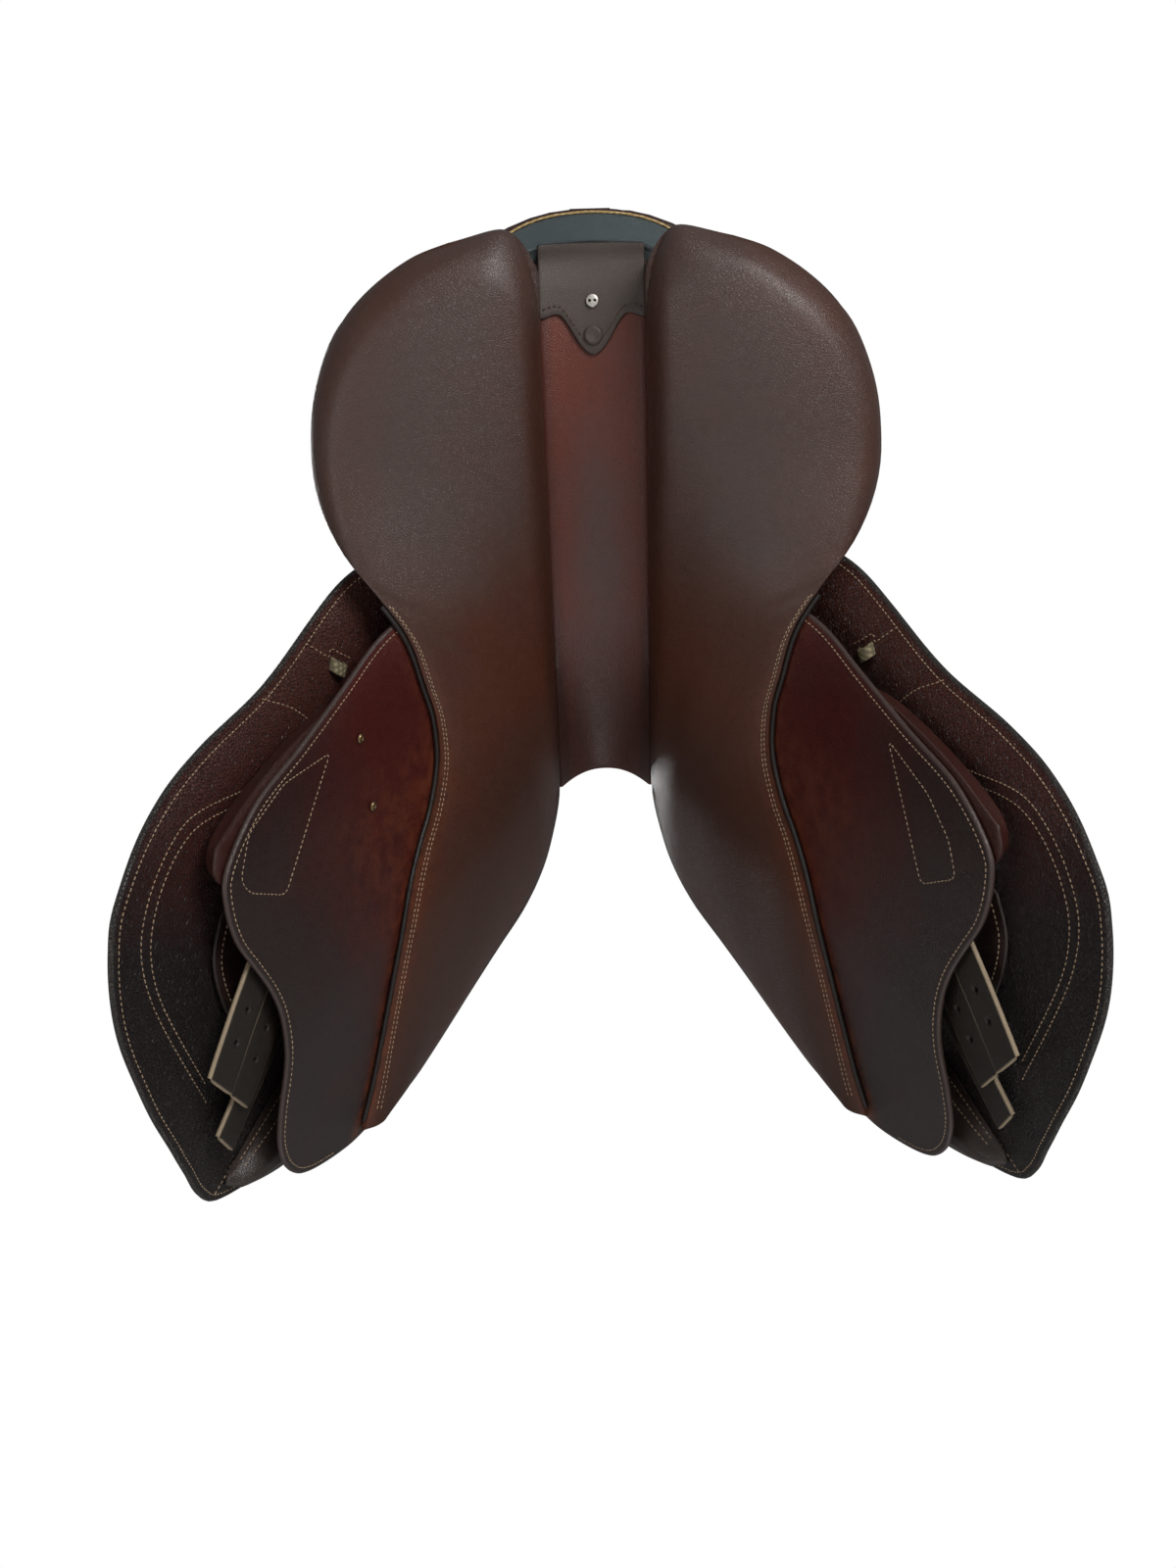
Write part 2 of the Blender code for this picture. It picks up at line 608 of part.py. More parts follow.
def make_rear_tab(finish):
    """Leather tab under the rear of the gullet, with its screw and the button in its tongue."""
    side_front = -0.172
    tongue = 0.026

    def front_edge(x):
        return side_front + tongue * ease(1.0 - abs(x) / 0.022) + 0.003 * ease((abs(x) - 0.022) / 0.012)

    grids = []
    for drop in (TAB, 0.0):
        grid = []
        for i in range(7):
            line = []
            for k in range(-8, 9):
                x = TAB_HALF * k / 8
                rear = LINING_REAR + 0.0005
                y = rear + (front_edge(x) - rear) * i / 6
                line.append(Vector((x, y, lining_height(x, y) - STRAP_GAP - drop)))
            grid.append(line)
        grids.append(grid)
    tab = slab("rear_tab", grids[0], grids[1], finish["tab"])

    slope = (lining_height(0, SCREW_Y + 0.004) - lining_height(0, SCREW_Y - 0.004)) / 0.008
    down = Vector((0.0, slope, -1.0)).normalized()
    seat = Vector((0.0, SCREW_Y, lining_height(0, SCREW_Y) - STRAP_GAP - TAB)) + down * 2 * GAP
    profile = [(0.0, -SCREW_DEPTH - TAB), (SCREW_SHANK_RADIUS, -SCREW_DEPTH - TAB), (SCREW_SHANK_RADIUS, 0.0),
               (SCREW_HEAD_RADIUS, 0.0), (SCREW_HEAD_RADIUS, SCREW_HEAD * 0.6),
               (SCREW_HEAD_RADIUS * 0.7, SCREW_HEAD), (0.0, SCREW_HEAD)]
    turned("tab_screw", profile, seat, down, 12, finish["nickel"])
    hole = [(0.0, -SCREW_DEPTH - TAB - GAP), (SCREW_SHANK_RADIUS + GAP, -SCREW_DEPTH - TAB - GAP),
            (SCREW_SHANK_RADIUS + GAP, 0.002), (0.0, 0.002)]
    drill = guide(turned("screw_hole", hole, seat, down, 12, finish["nickel"]))

    slope = (lining_height(0, BUTTON_Y + 0.004) - lining_height(0, BUTTON_Y - 0.004)) / 0.008
    down = Vector((0.0, slope, -1.0)).normalized()
    place = Vector((0.0, BUTTON_Y, lining_height(0, BUTTON_Y) - STRAP_GAP - TAB)) + down * 2 * GAP
    turned("tab_button", [(0.0, 0.0), (BUTTON_RADIUS, 0.0), (BUTTON_RADIUS, BUTTON * 0.4),
                          (BUTTON_RADIUS * 0.8, BUTTON), (0.0, BUTTON)], place, down, 14, finish["tab"])
    return tab, drill


def panel_top(y, s, v):
    """Height of the panel's upper face above the bearing surface."""
    gullet = deck(GULLET_HALF, y) - through(BEARING_HEIGHT, y)
    fade = gullet * (1.0 - ease(s / PANEL_TOP_FADE))
    cushion = through(PANEL_DEPTH, y) * (1.0 - 0.55 * ease((v - 0.5) / 0.5))
    return max(fade, cushion)


def make_panel(finish, side, tag):
    """Cushion: crowned bearing face, rounded sides, upper face shaped to the tree and sweat flap."""
    across = [0.0, 0.02, 0.06, 0.12, 0.20, 0.29, 0.40, 0.58, 0.74, 0.86, 0.94, 0.98, 1.0]
    steps = 32
    under = []
    over = []
    for i in range(steps + 1):
        t = i / steps
        inner = along(PANEL_INNER, t)
        outer = along(PANEL_OUTER, t)
        width = math.dist(inner, outer)
        crown = through(PANEL_CROWN, t)
        end = math.sqrt(1.0 - (1.0 - min(1.0, (t + 0.002) / 0.05)) ** 2)
        low = []
        high = []
        for v in across:
            y = inner[0] + (outer[0] - inner[0]) * v
            s = inner[1] + (outer[1] - inner[1]) * v
            depth = through(PANEL_DEPTH, y)
            sidewall = 0.28 * depth
            if v < 0.5 and y < 0.205:
                sidewall = max(sidewall, 0.008 * ease((0.205 - y) / 0.03) - PANEL_SEAM)
            if depth <= 0.0 and not (v < 0.5 and y < 0.205):
                sidewall = -PANEL_SEAM
            reach = min(v, 1.0 - v) * width / PANEL_ROUND
            rounded = math.sqrt(1.0 - (1.0 - min(1.0, reach)) ** 2) * end
            bulge = -PANEL_SEAM - crown * (1.0 - (2.0 * v - 1.0) ** 2) ** 0.8
            low.append(bearing(y, s, sidewall + (bulge - sidewall) * rounded))
            back = PANEL_TOP_REAR + (y - PANEL_TOP_REAR) * PANEL_REAR_TUCK if y < PANEL_TOP_REAR else y
            top = bearing(back, s, panel_top(back, s, v) - GAP)
            top.z = min(top.z, deck(top.x, back) - PANEL_SHY)
            if v == 0.0:
                top.x = low[0].x
            high.append(top)
        under.append(low)
        over.append(high)
    return slab("panel_" + tag, under, over, finish["panel"], side)


def make_panel_piping(finish, side, tag):
    """Cord in the groove between the panel cushion and the sweat flap."""
    path = []
    for i in range(26):
        t = 0.40 + 0.59 * i / 25
        y, s = along(PANEL_OUTER, t)
        ahead = along(PANEL_OUTER, min(1.0, t + 0.01))
        run = Vector((ahead[0] - y, ahead[1] - s)).normalized()
        offset = PIPING_RADIUS + GAP * 3
        path.append(bearing(y - run.y * offset, s + run.x * offset, -PIPING_RADIUS - GAP))
    return tube("panel_piping_" + tag, path, PIPING_RADIUS, 6, finish["piping"], side)


def make_sweat_flap(finish, side, tag):
    grid = patch(SWEAT_TOP, SWEAT_BOTTOM, SWEAT_REAR, SWEAT_FRONT, TWISTED, 13)
    return layer("sweat_flap_" + tag, grid, SWEAT_IN, SWEAT_OUT, finish["sweat flap"], side)


def make_thigh_block(finish, side, tag):
    grid = patch(THIGH_TOP, THIGH_BOTTOM, THIGH_REAR, THIGH_FRONT, 4, 8)
    base = SWEAT_OUT + STRAP_GAP
    last = len(grid) - 1
    width = len(grid[0]) - 1
    under = [[bearing(y, s, base) for y, s in row] for row in grid]
    over = []
    for j, row in enumerate(grid):
        line = []
        for i, (y, s) in enumerate(row):
            u = i / width
            v = j / last
            rise = (1.0 - (2 * u - 1) ** 4) ** 0.5 * (1.0 - (2 * v - 1) ** 6) ** 0.5
            line.append(bearing(y, s, base + 0.003 + (THIGH_BLOCK - 0.003) * rise))
        over.append(line)
    return slab("thigh_block_" + tag, under, over, finish["block"], side)


def make_flap(finish, side, tag, notch):
    grid = patch(FLAP_TOP, FLAP_BOTTOM, FLAP_REAR, FLAP_FRONT, TWISTED, 16)
    made = layer("flap_" + tag, grid, FLAP_IN, FLAP_OUT, finish["flap"], side)
    cut(made, notch)
    return made


def make_knee_block(finish, side, tag):
    """Wedge sewn inside the flap's front edge, thickest along its front."""
    grid = patch(KNEE_TOP, KNEE_BOTTOM, KNEE_REAR, KNEE_FRONT, 4, 9)
    top = FLAP_IN - GAP
    last = len(grid) - 1
    width = len(grid[0]) - 1
    over = [[bearing(y, s, top) for y, s in row] for row in grid]
    under = []
    for j, row in enumerate(grid):
        line = []
        for i, (y, s) in enumerate(row):
            u = i / width
            v = j / last
            rise = ease(u / 0.55) * (1.0 - 0.25 * ease((u - 0.75) / 0.25)) * (1.0 - (2 * v - 1) ** 8) ** 0.5
            line.append(bearing(y, s, top - 0.002 - (KNEE_BLOCK - 0.002) * rise))
        under.append(line)
    return slab("knee_block_" + tag, under, over, finish["block"], side)


def skirt_height(y, s):
    """The skirt stands over the stirrup bar, then lies down on the flap."""
    return SKIRT_OVER_BAR + (FLAP_OUT + STRAP_GAP - SKIRT_OVER_BAR) * ease((s - 0.085) / 0.050)


def make_skirt(finish, side, tag):
    grid = patch(SKIRT_TOP, SKIRT_BOTTOM, SKIRT_REAR, SKIRT_FRONT, 8, 8)


    def outer(y, s):
        return skirt_height(y, s) + SKIRT

    return layer("skirt_" + tag, grid, skirt_height, outer, finish["flap"], side)


def make_guard(finish, side, tag):
    """Leather sheet over the buckles, which lies on the straps at its top and stands off them below."""
    grid = patch(GUARD_TOP, GUARD_BOTTOM, GUARD_REAR, GUARD_FRONT, 5, 5)
    upper_edge = GUARD_TOP[1][1]
    lower_edge = GUARD_BOTTOM[2][1]

    def inner(y, s):
        return GUARD_IN + GUARD_RISE * (s - upper_edge) / (lower_edge - upper_edge)

    def outer(y, s):
        return inner(y, s) + GUARD

    return layer("buckle_guard_" + tag, grid, inner, outer, finish["guard"], side)


def make_web(finish, side, tag):
    """Webbing from the tree over the panel, packed under each strap's end to that strap's level."""
    under = []
    over = []
    for i in range(WEB_ROWS + 1):
        s = WEB_TOP_S + (WEB_BOTTOM_S - WEB_TOP_S) * i / WEB_ROWS
        low = []
        high = []
        for y, level in WEB_STEPS:
            y = y + math.tan(BILLET_LEAN_TOP) * (s - WEB_STEP_S)
            height = max(WEB_IN, panel_top(y, s, 0.0) + WEB_SHY)
            packed = level * BILLET_PITCH * ease((s - WEB_PACK_S) / WEB_PACK_RISE)
            low.append(bearing(y, s, height))
            high.append(bearing(y, s, height + WEB + packed))
        under.append(low)
        over.append(high)
    return slab("billet_web_" + tag, under, over, finish["webbing"], side)


def make_billet(number, name, y, s, finish, side, tag):
    """Strap that hangs from its web and curves forward to an angled tip."""
    rows = 9
    half = BILLET_WIDTH / 2
    grid = []
    for i in range(rows + 1):
        lean = BILLET_LEAN_TOP + (BILLET_LEAN_TIP - BILLET_LEAN_TOP) * i / rows
        line = []
        for across in (-half, 0.0, half):
            back = BILLET_TIP_CUT * (half - across) / BILLET_WIDTH if i == rows else 0.0
            line.append((y + math.cos(lean) * across - math.sin(lean) * back,
                         s - math.sin(lean) * across - math.cos(lean) * back))
        grid.append(line)
        y += math.sin(lean) * BILLET_LENGTH / rows
        s += math.cos(lean) * BILLET_LENGTH / rows
    low = BILLET_IN + number * BILLET_PITCH
    return layer("billet_%s_%s" % (name, tag), grid, low, low + BILLET, finish["billet"], side)


def bearing_frame(y, s, height, side):
    """Frame that stands on the bearing surface: forward, down along it, out of it."""
    place = bearing(y, s, height)
    slope = slope_at(y, s)
    forward = Vector((0.0, 1.0, 0.0))
    down = Vector((side * math.cos(slope), 0.0, -math.sin(slope)))
    out = Vector((side * math.sin(slope), 0.0, math.cos(slope)))
    frame = Matrix((forward, down, out)).transposed().to_4x4()
    frame.translation = Vector((side * place.x, place.y, place.z))
    return frame


def make_bar(finish, side, tag):
    """Steel bar: plate, neck at its front end and arm, with a hinged catch at its open rear end.

    Its frame is y forward, p down along the plate and q out of it.
    """
    frame = bearing_frame(BAR_Y, BAR_S, BAR_BASE, side)
    half = BAR_LENGTH / 2
    arm_low = BAR_PLATE + BAR_SLOT
    arm_high = arm_low + BAR_ARM
    arm_top = BAR_PLATE_DOWN - BAR_ARM_WIDTH
    steel = finish["steel"]
    arm_end = -half + BAR_OPEN
    outline = [(-half, 0.0), (half, 0.0), (half, arm_high), (arm_end, arm_high), (arm_end, arm_low),
               (half - BAR_NECK, arm_low), (half - BAR_NECK, BAR_PLATE), (-half, BAR_PLATE)]
    points = []
    for p in (arm_top, BAR_PLATE_DOWN):
        points.extend(frame @ Vector((y, p, q)) for y, q in outline)
    count = len(outline)
    faces = [list(range(count)), list(range(2 * count - 1, count - 1, -1))]
    faces += [[k, (k + 1) % count, count + (k + 1) % count, count + k] for k in range(count)]
    mesh = bpy.data.meshes.new("stirrup_bar_" + tag)
    mesh.from_pydata(points, [], faces)
    bar = finished("stirrup_bar_" + tag, mesh, steel)
    plate = guide(block("bar_plate_" + tag, frame, (-half + BAR_STEP, -BAR_PLATE_UP, BAR_STEP),
                        (half - BAR_STEP, arm_top + 0.002, BAR_PLATE - BAR_STEP), steel))
    cut(bar, plate, "UNION")

    pin_y = -half + 0.006
    pin_q = BAR_PLATE + CATCH_HALF * math.sqrt(2.0) + GAP
    pin_p = (arm_top + BAR_PLATE_DOWN) / 2
    lug = 0.0022
    for number, start in enumerate((arm_top + BAR_STEP, BAR_PLATE_DOWN - lug - BAR_STEP)):
        ear = guide(block("bar_ear_%s%d" % (tag, number), frame, (pin_y - 0.004, start, BAR_PLATE - 0.001),
                          (pin_y + 0.004, start + lug, pin_q + 0.0035), steel))
        cut(bar, ear, "UNION")
    axis = frame.to_3x3() @ Vector((0.0, 1.0, 0.0))
    centre = frame @ Vector((pin_y, pin_p, pin_q))
    length = BAR_ARM_WIDTH / 2 + 0.0006
    bore = [(0.0, -length - 0.002), (CATCH_PIN_RADIUS + CATCH_FIT, -length - 0.002),
            (CATCH_PIN_RADIUS + CATCH_FIT, length + 0.002), (0.0, length + 0.002)]
    drill = guide(turned("catch_bore_" + tag, bore, centre, axis, 10, steel))
    cut(bar, drill)
    pin = [(0.0, -length), (CATCH_PIN_RADIUS, -length), (CATCH_PIN_RADIUS, length), (0.0, length)]
    turned("catch_pin_" + tag, pin, centre, axis, 10, finish["nickel"])
    inner = BAR_ARM_WIDTH / 2 - lug - BAR_STEP - GAP
    catch = block("bar_catch_" + tag, frame, (pin_y - CATCH_LENGTH, pin_p - inner, pin_q - CATCH_HALF),
                  (pin_y + CATCH_HALF, pin_p + inner, pin_q + CATCH_HALF), finish["nickel"], 0.0005)
    cut(catch, drill)
    carry(pivot("catch_pivot_" + tag, centre), catch)
    return frame


def make_notch(frame, tag, finish):
    """Opening in the flap's top edge that the stirrup bar stands out of."""
    half = BAR_LENGTH / 2
    return guide(block("bar_notch_" + tag, frame, (-half - 0.022, -0.060, -0.012), (half + 0.006, 0.017, 0.040),
                       finish["steel"]))


def make_welt(finish, side, tag):
    """Cord under the seat's lower edge, from the cantle facing to the pommel."""
    path = []
    for i in range(19):
        y = CANTLE_FACING_FRONT + 0.003 + (SEAT_FRONT - 0.002 - CANTLE_FACING_FRONT - 0.003) * i / 18
        drop = SEAT_LEATHER * through(RIM_DROP, y)
        path.append((seat_half(y) - WELT_RADIUS, y, seat_edge(y) - drop - WELT_RADIUS - 2 * GAP))
    return tube("seat_welt_" + tag, path, WELT_RADIUS, 6, finish["piping"], side)


def cantle_outline(inset):
    """Plan points round the cantle from the right side to the left, and their outward turn."""
    points = []
    front = CANTLE_FACING_FRONT
    for i in range(4):
        y = front + (CANTLE_Y - front) * i / 4
        points.append((seat_half(y, inset), y))
    for i in range(25):
        turn = math.pi * i / 24
        depth = CANTLE_Y - SEAT_REAR - inset
        points.append(((CANTLE_HALF - inset) * math.cos(turn), CANTLE_Y - depth * math.sin(turn)))
    points.extend((-x, y) for x, y in points[3::-1])
    return points


def make_cantle_facing(finish):
    """Leather wall between the seat's rim and the panels, round the back of the cantle."""
    grids = []
    levels = 4
    for depth in (0.0, CANTLE_FACING):
        grid = []
        for i in range(levels + 1):
            t = i / levels
            inset = 0.0005 + depth + CANTLE_TUCK * ease(t * 0.8) / ease(0.8)
            upper = cantle_outline(0.0005 + depth)
            line = []
            for (x, y), (x0, y0) in zip(cantle_outline(inset), upper):
                top = through(SEAT_EDGE, y0) - (depth + 0.0005) * through(RIM_DROP, y0) - 0.001
                foot = min(deck(x, y), deck(GULLET_HALF, y)) + 0.0015
                line.append(Vector((x, y, top + (foot - top) * t)))
            grid.append(line)
        grids.append(grid)
    return slab("cantle_facing", grids[0], grids[1], finish["cantle"])


def make_cantle_piping(finish):
    """Gold cord that outlines the plate on the cantle facing."""
    path = []
    for i in range(25):
        turn = math.radians(28.0 + 124.0 * i / 24)
        offset = CANTLE_PIPING_RADIUS + 0.0016
        inset = 0.0005 + CANTLE_TUCK * 0.16 - offset
        depth = CANTLE_Y - SEAT_REAR - inset
        x = (CANTLE_HALF - inset) * math.cos(turn)
        y = CANTLE_Y - depth * math.sin(turn)
        path.append((x, y, through(SEAT_EDGE, y) - 0.010))
    return tube("cantle_piping", path, CANTLE_PIPING_RADIUS, 6, finish["gold"])


def make_pommel_facing(finish):
    """Arch of leather that closes the front of the seat, from the seat's edge to the gullet."""
    grids = []
    for y in (SEAT_FRONT + GAP, SEAT_FRONT + GAP + POMMEL_FACING):
        grid = []
        for turn in [math.radians(a) for a in (-90, -75, -60, -45, -30, -15, 0, 15, 30, 45, 60, 75, 90)]:
            x_out = seat_half(SEAT_FRONT) * math.sin(turn)
            z_out = seat_height(x_out, SEAT_FRONT)
            x_in = (GULLET_HALF - GAP) * math.sin(turn)
            z_in = deck(x_in, SEAT_FRONT) + GAP
            shares = (0.0, 0.5, 1.0)
            grid.append([Vector((x_in + (x_out - x_in) * t, y, z_in + (z_out - z_in) * t)) for t in shares])
        grids.append(grid)
    return slab("pommel_facing", grids[0], grids[1], finish["lining"])


def make_dee(finish, side, tag):
    """Dee ring that hangs in a staple on the pommel's front."""
    face = SEAT_FRONT + GAP + POMMEL_FACING + GAP
    reach = 2 * STAPLE_WIRE + 2 * DEE_WIRE + 0.0016
    staple = []
    for i in range(9):
        turn = math.pi * i / 8
        staple.append((DEE_X, face + reach * math.sin(turn) ** 0.6 * 0.82, DEE_Z + STAPLE_HALF * math.cos(turn)))
    tube("dee_staple_" + tag, staple, STAPLE_WIRE, 6, finish["nickel"], side)
    centre = Vector((DEE_X, face + DEE_WIRE + 0.0012, DEE_Z))
    ring = []
    for i in range(5):
        ring.append((DEE_X + DEE_HALF * (i / 2 - 1), centre.y, DEE_Z))
    for i in range(1, 10):
        turn = math.pi * i / 10
        ring.append((DEE_X + DEE_HALF * math.cos(turn), centre.y, DEE_Z - DEE_DROP * math.sin(turn)))
    made = tube("dee_ring_" + tag, ring, DEE_WIRE, 6, finish["nickel"], side, closed=True)
    carry(pivot("dee_pivot_" + tag, (side * centre.x, centre.y, centre.z)), made)


def make_nail(finish, side, tag):
    """Round-headed nail at the side of the pommel."""
    x = seat_half(NAIL_Y) * 0.93
    z = seat_height(x, NAIL_Y)
    dx = 0.002
    slope = (seat_height(x + dx, NAIL_Y) - seat_height(x - dx, NAIL_Y)) / (2 * dx)
    out = Vector((-slope * side, 0.0, 1.0)).normalized()
    place = Vector((side * x, NAIL_Y, z)) + out * GAP
    profile = [(0.0, 0.0), (NAIL_RADIUS, 0.0), (NAIL_RADIUS * 0.86, NAIL_HEAD * 0.6),
               (NAIL_RADIUS * 0.5, NAIL_HEAD), (0.0, NAIL_HEAD)]
    turned("pommel_nail_" + tag, profile, place, out, 12, finish["nickel"])


def make_rivets(finish):
    """Two eyelet rivets in the left sweat flap only."""
    for name, y, s in RIVETS:
        place = bearing(y, s, SWEAT_IN - 4 * GAP)
        ahead = bearing(y, s, 0.0)
        inward = (ahead - bearing(y, s, 0.001)).normalized()
        profile = [(0.0, 0.0), (RIVET_RADIUS, 0.0), (RIVET_RADIUS * 0.8, RIVET_HEAD),
                   (RIVET_RADIUS * 0.35, RIVET_HEAD), (RIVET_RADIUS * 0.3, RIVET_HEAD * 0.5),
                   (0.0, RIVET_HEAD * 0.5)]
        turned("flap_rivet_" + name, profile, (-place.x, place.y, place.z), (-inward.x, inward.y, inward.z), 10,
               finish["nickel"])


def make_keeper(finish, side, tag):
    """Small strap loop sewn inside the flap."""
    loops = []
    for wall in (0.0, KEEPER_STRAP):
        half = KEEPER_LENGTH / 2 - wall
        low = KEEPER_DEPTH - wall
        loops.append([(-half, wall), (half, wall), (half, low), (-half, low)])
    points = []
    for down in (-KEEPER_WIDTH / 2, KEEPER_WIDTH / 2):
        for loop in loops:
            for forward, depth in loop:
                p = bearing(KEEPER_Y + forward, KEEPER_S + down, FLAP_IN - STRAP_GAP - depth)
                points.append(Vector((side * p.x, p.y, p.z)))
    faces = []
    for k in range(4):
        m = (k + 1) % 4
        faces.append([k, m, 4 + m, 4 + k])
        faces.append([8 + k, 12 + k, 12 + m, 8 + m])
        faces.append([k, 8 + k, 8 + m, m])
        faces.append([4 + k, 4 + m, 12 + m, 12 + k])
    mesh = bpy.data.meshes.new("flap_keeper_" + tag)
    mesh.from_pydata(points, [], faces)
    return finished("flap_keeper_" + tag, mesh, finish["webbing"])


def make_side(finish, side, tag):
    make_panel(finish, side, tag)
    make_panel_piping(finish, side, tag)
    make_sweat_flap(finish, side, tag)
    make_thigh_block(finish, side, tag)
    make_web(finish, side, tag)
    make_welt(finish, side, tag)
    make_dee(finish, side, tag)
    make_nail(finish, side, tag)
    frame = make_bar(finish, side, tag)
    notch = make_notch(frame, tag, finish)
    lift = pivot("flap_pivot_" + tag, (side * LIFT_X, 0.0, LIFT_Z))
    carry(lift, make_flap(finish, side, tag, notch), make_knee_block(finish, side, tag),
          make_keeper(finish, side, tag))
    carry(pivot("skirt_pivot_" + tag, (side * LIFT_X, 0.0, LIFT_Z)), make_skirt(finish, side, tag))
    for number, (name, y, s) in enumerate(BILLET_TOPS):
        top = bearing(y, s, BILLET_IN + number * BILLET_PITCH)
        swing = pivot("billet_pivot_%s_%s" % (name, tag), (side * top.x, top.y, top.z))
        carry(swing, make_billet(number, name, y, s, finish, side, tag))
    make_guard(finish, side, tag)


def main():
    for item in list(bpy.data.objects):
        bpy.data.objects.remove(item, do_unlink=True)
    finish = {
        "seat leather": material("grained seat leather", (0.055, 0.020, 0.014), 0.45),
        "flap": material("grained flap leather", (0.050, 0.016, 0.011), 0.50),
        "sweat flap": material("smooth red-brown leather", (0.060, 0.014, 0.009), 0.40),
        "panel": material("smooth calf leather", (0.055, 0.030, 0.025), 0.42),
        "lining": material("gullet leather", (0.095, 0.032, 0.021), 0.45),
        "tab": material("grey-brown leather", (0.060, 0.052, 0.047), 0.50),
        "cantle": material("blue-grey leather", (0.040, 0.050, 0.055), 0.40),
        "block": material("block cover leather", (0.080, 0.020, 0.012), 0.45),
        "billet": material("cut strap leather", (0.080, 0.055, 0.035), 0.65),
        "guard": material("guard leather", (0.030, 0.018, 0.014), 0.45),
        "piping": material("dark piping", (0.020, 0.016, 0.014), 0.45),
        "gold": material("gold piping", (0.45, 0.30, 0.12), 0.35),
        "foam": material("latex foam", (0.60, 0.55, 0.42), 0.90),
        "webbing": material("nylon webbing", (0.55, 0.52, 0.45), 0.85),
        "tree": material("laminated wood", (0.42, 0.28, 0.15), 0.60),
        "steel": material("forged steel", (0.40, 0.40, 0.42), 0.35, 1.0),
        "nickel": material("nickel plate", (0.62, 0.60, 0.57), 0.22, 1.0),
    }
    make_seat(finish)
    tree = make_tree(finish)
    lining = make_lining(finish)
    tab, drill = make_rear_tab(finish)
    for drilled in (tree, lining, tab):
        cut(drilled, drill)
    make_cantle_facing(finish)
    make_cantle_piping(finish)
    make_pommel_facing(finish)
    make_rivets(finish)
    for side, tag in ((1, "r"), (-1, "l")):
        make_side(finish, side, tag)


main()
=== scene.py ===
"""Looks of the jumping saddle: leathers, cushions, stitching and metal over the CAD frame.

Metres, +X the rider's right, +Y towards the pommel, +Z up. The photograph looks up at the
underside, so the camera stands behind and below the saddle. The shapes are drawn on the same
two families of surfaces as the CAD: the seat's height field, and the surface that bears on the
horse, where points are (y, s) with s measured down from the gullet's edge.
"""

import json
import math

import bmesh
import bpy
from mathutils import Matrix, Vector

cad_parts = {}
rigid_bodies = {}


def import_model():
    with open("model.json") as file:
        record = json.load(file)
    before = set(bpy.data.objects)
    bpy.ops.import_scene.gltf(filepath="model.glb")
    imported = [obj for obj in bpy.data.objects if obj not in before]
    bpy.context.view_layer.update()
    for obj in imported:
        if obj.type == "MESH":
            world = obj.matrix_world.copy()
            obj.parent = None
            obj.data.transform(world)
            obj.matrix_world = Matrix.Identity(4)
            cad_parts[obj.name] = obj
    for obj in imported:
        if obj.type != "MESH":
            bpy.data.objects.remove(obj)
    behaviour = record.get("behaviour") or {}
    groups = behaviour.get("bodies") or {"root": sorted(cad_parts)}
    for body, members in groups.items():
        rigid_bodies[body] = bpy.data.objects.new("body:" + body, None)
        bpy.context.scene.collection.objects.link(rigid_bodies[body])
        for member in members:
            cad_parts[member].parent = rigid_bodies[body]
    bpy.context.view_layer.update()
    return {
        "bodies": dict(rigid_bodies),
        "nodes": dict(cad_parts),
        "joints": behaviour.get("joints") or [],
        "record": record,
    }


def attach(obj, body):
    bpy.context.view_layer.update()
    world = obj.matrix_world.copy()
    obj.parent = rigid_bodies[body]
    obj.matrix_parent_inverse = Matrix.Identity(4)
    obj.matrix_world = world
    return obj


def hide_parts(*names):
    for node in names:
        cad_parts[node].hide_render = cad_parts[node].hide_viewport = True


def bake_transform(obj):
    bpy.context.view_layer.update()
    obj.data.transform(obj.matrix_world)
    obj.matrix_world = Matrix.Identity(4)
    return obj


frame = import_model()
nodes = frame["nodes"]

# Clearances
GAP = 0.0003
STRAP_GAP = 0.0008

# Seat
SEAT_REAR = -0.228
SEAT_FRONT = 0.205
CANTLE_Y = -0.118
CANTLE_HALF = 0.134
SEAT_LEATHER = 0.003
SEAT_FOAM = 0.014
SEAT_HALF = [(CANTLE_Y, CANTLE_HALF), (-0.080, CANTLE_HALF - 0.007), (-0.045, CANTLE_HALF - 0.023),
             (-0.010, 0.096), (0.030, 0.092), (0.130, 0.091), (0.165, 0.086), (0.190, 0.075),
             (SEAT_FRONT, 0.064)]
SEAT_CENTRE = [(SEAT_REAR, 0.142), (-0.205, 0.123), (-0.150, 0.098), (-0.090, 0.083), (-0.030, 0.079),
               (0.030, 0.084), (0.085, 0.097), (0.135, 0.113), (0.175, 0.123), (SEAT_FRONT, 0.122)]
SEAT_EDGE = [(SEAT_REAR, 0.142), (-0.205, 0.127), (-0.165, 0.100), (CANTLE_Y, 0.080), (-0.080, 0.065),
             (-0.045, 0.053), (-0.010, 0.045), (0.070, 0.0435), (0.150, 0.048), (SEAT_FRONT, 0.056)]
SEAT_FULLNESS = [(SEAT_REAR, 2.6), (-0.100, 2.6), (-0.020, 1.9), (0.070, 1.5), (0.150, 1.8),
                 (SEAT_FRONT, 2.1)]
RIM_DROP = [(SEAT_REAR, 1.0), (-0.100, 1.0), (-0.030, 0.0)]

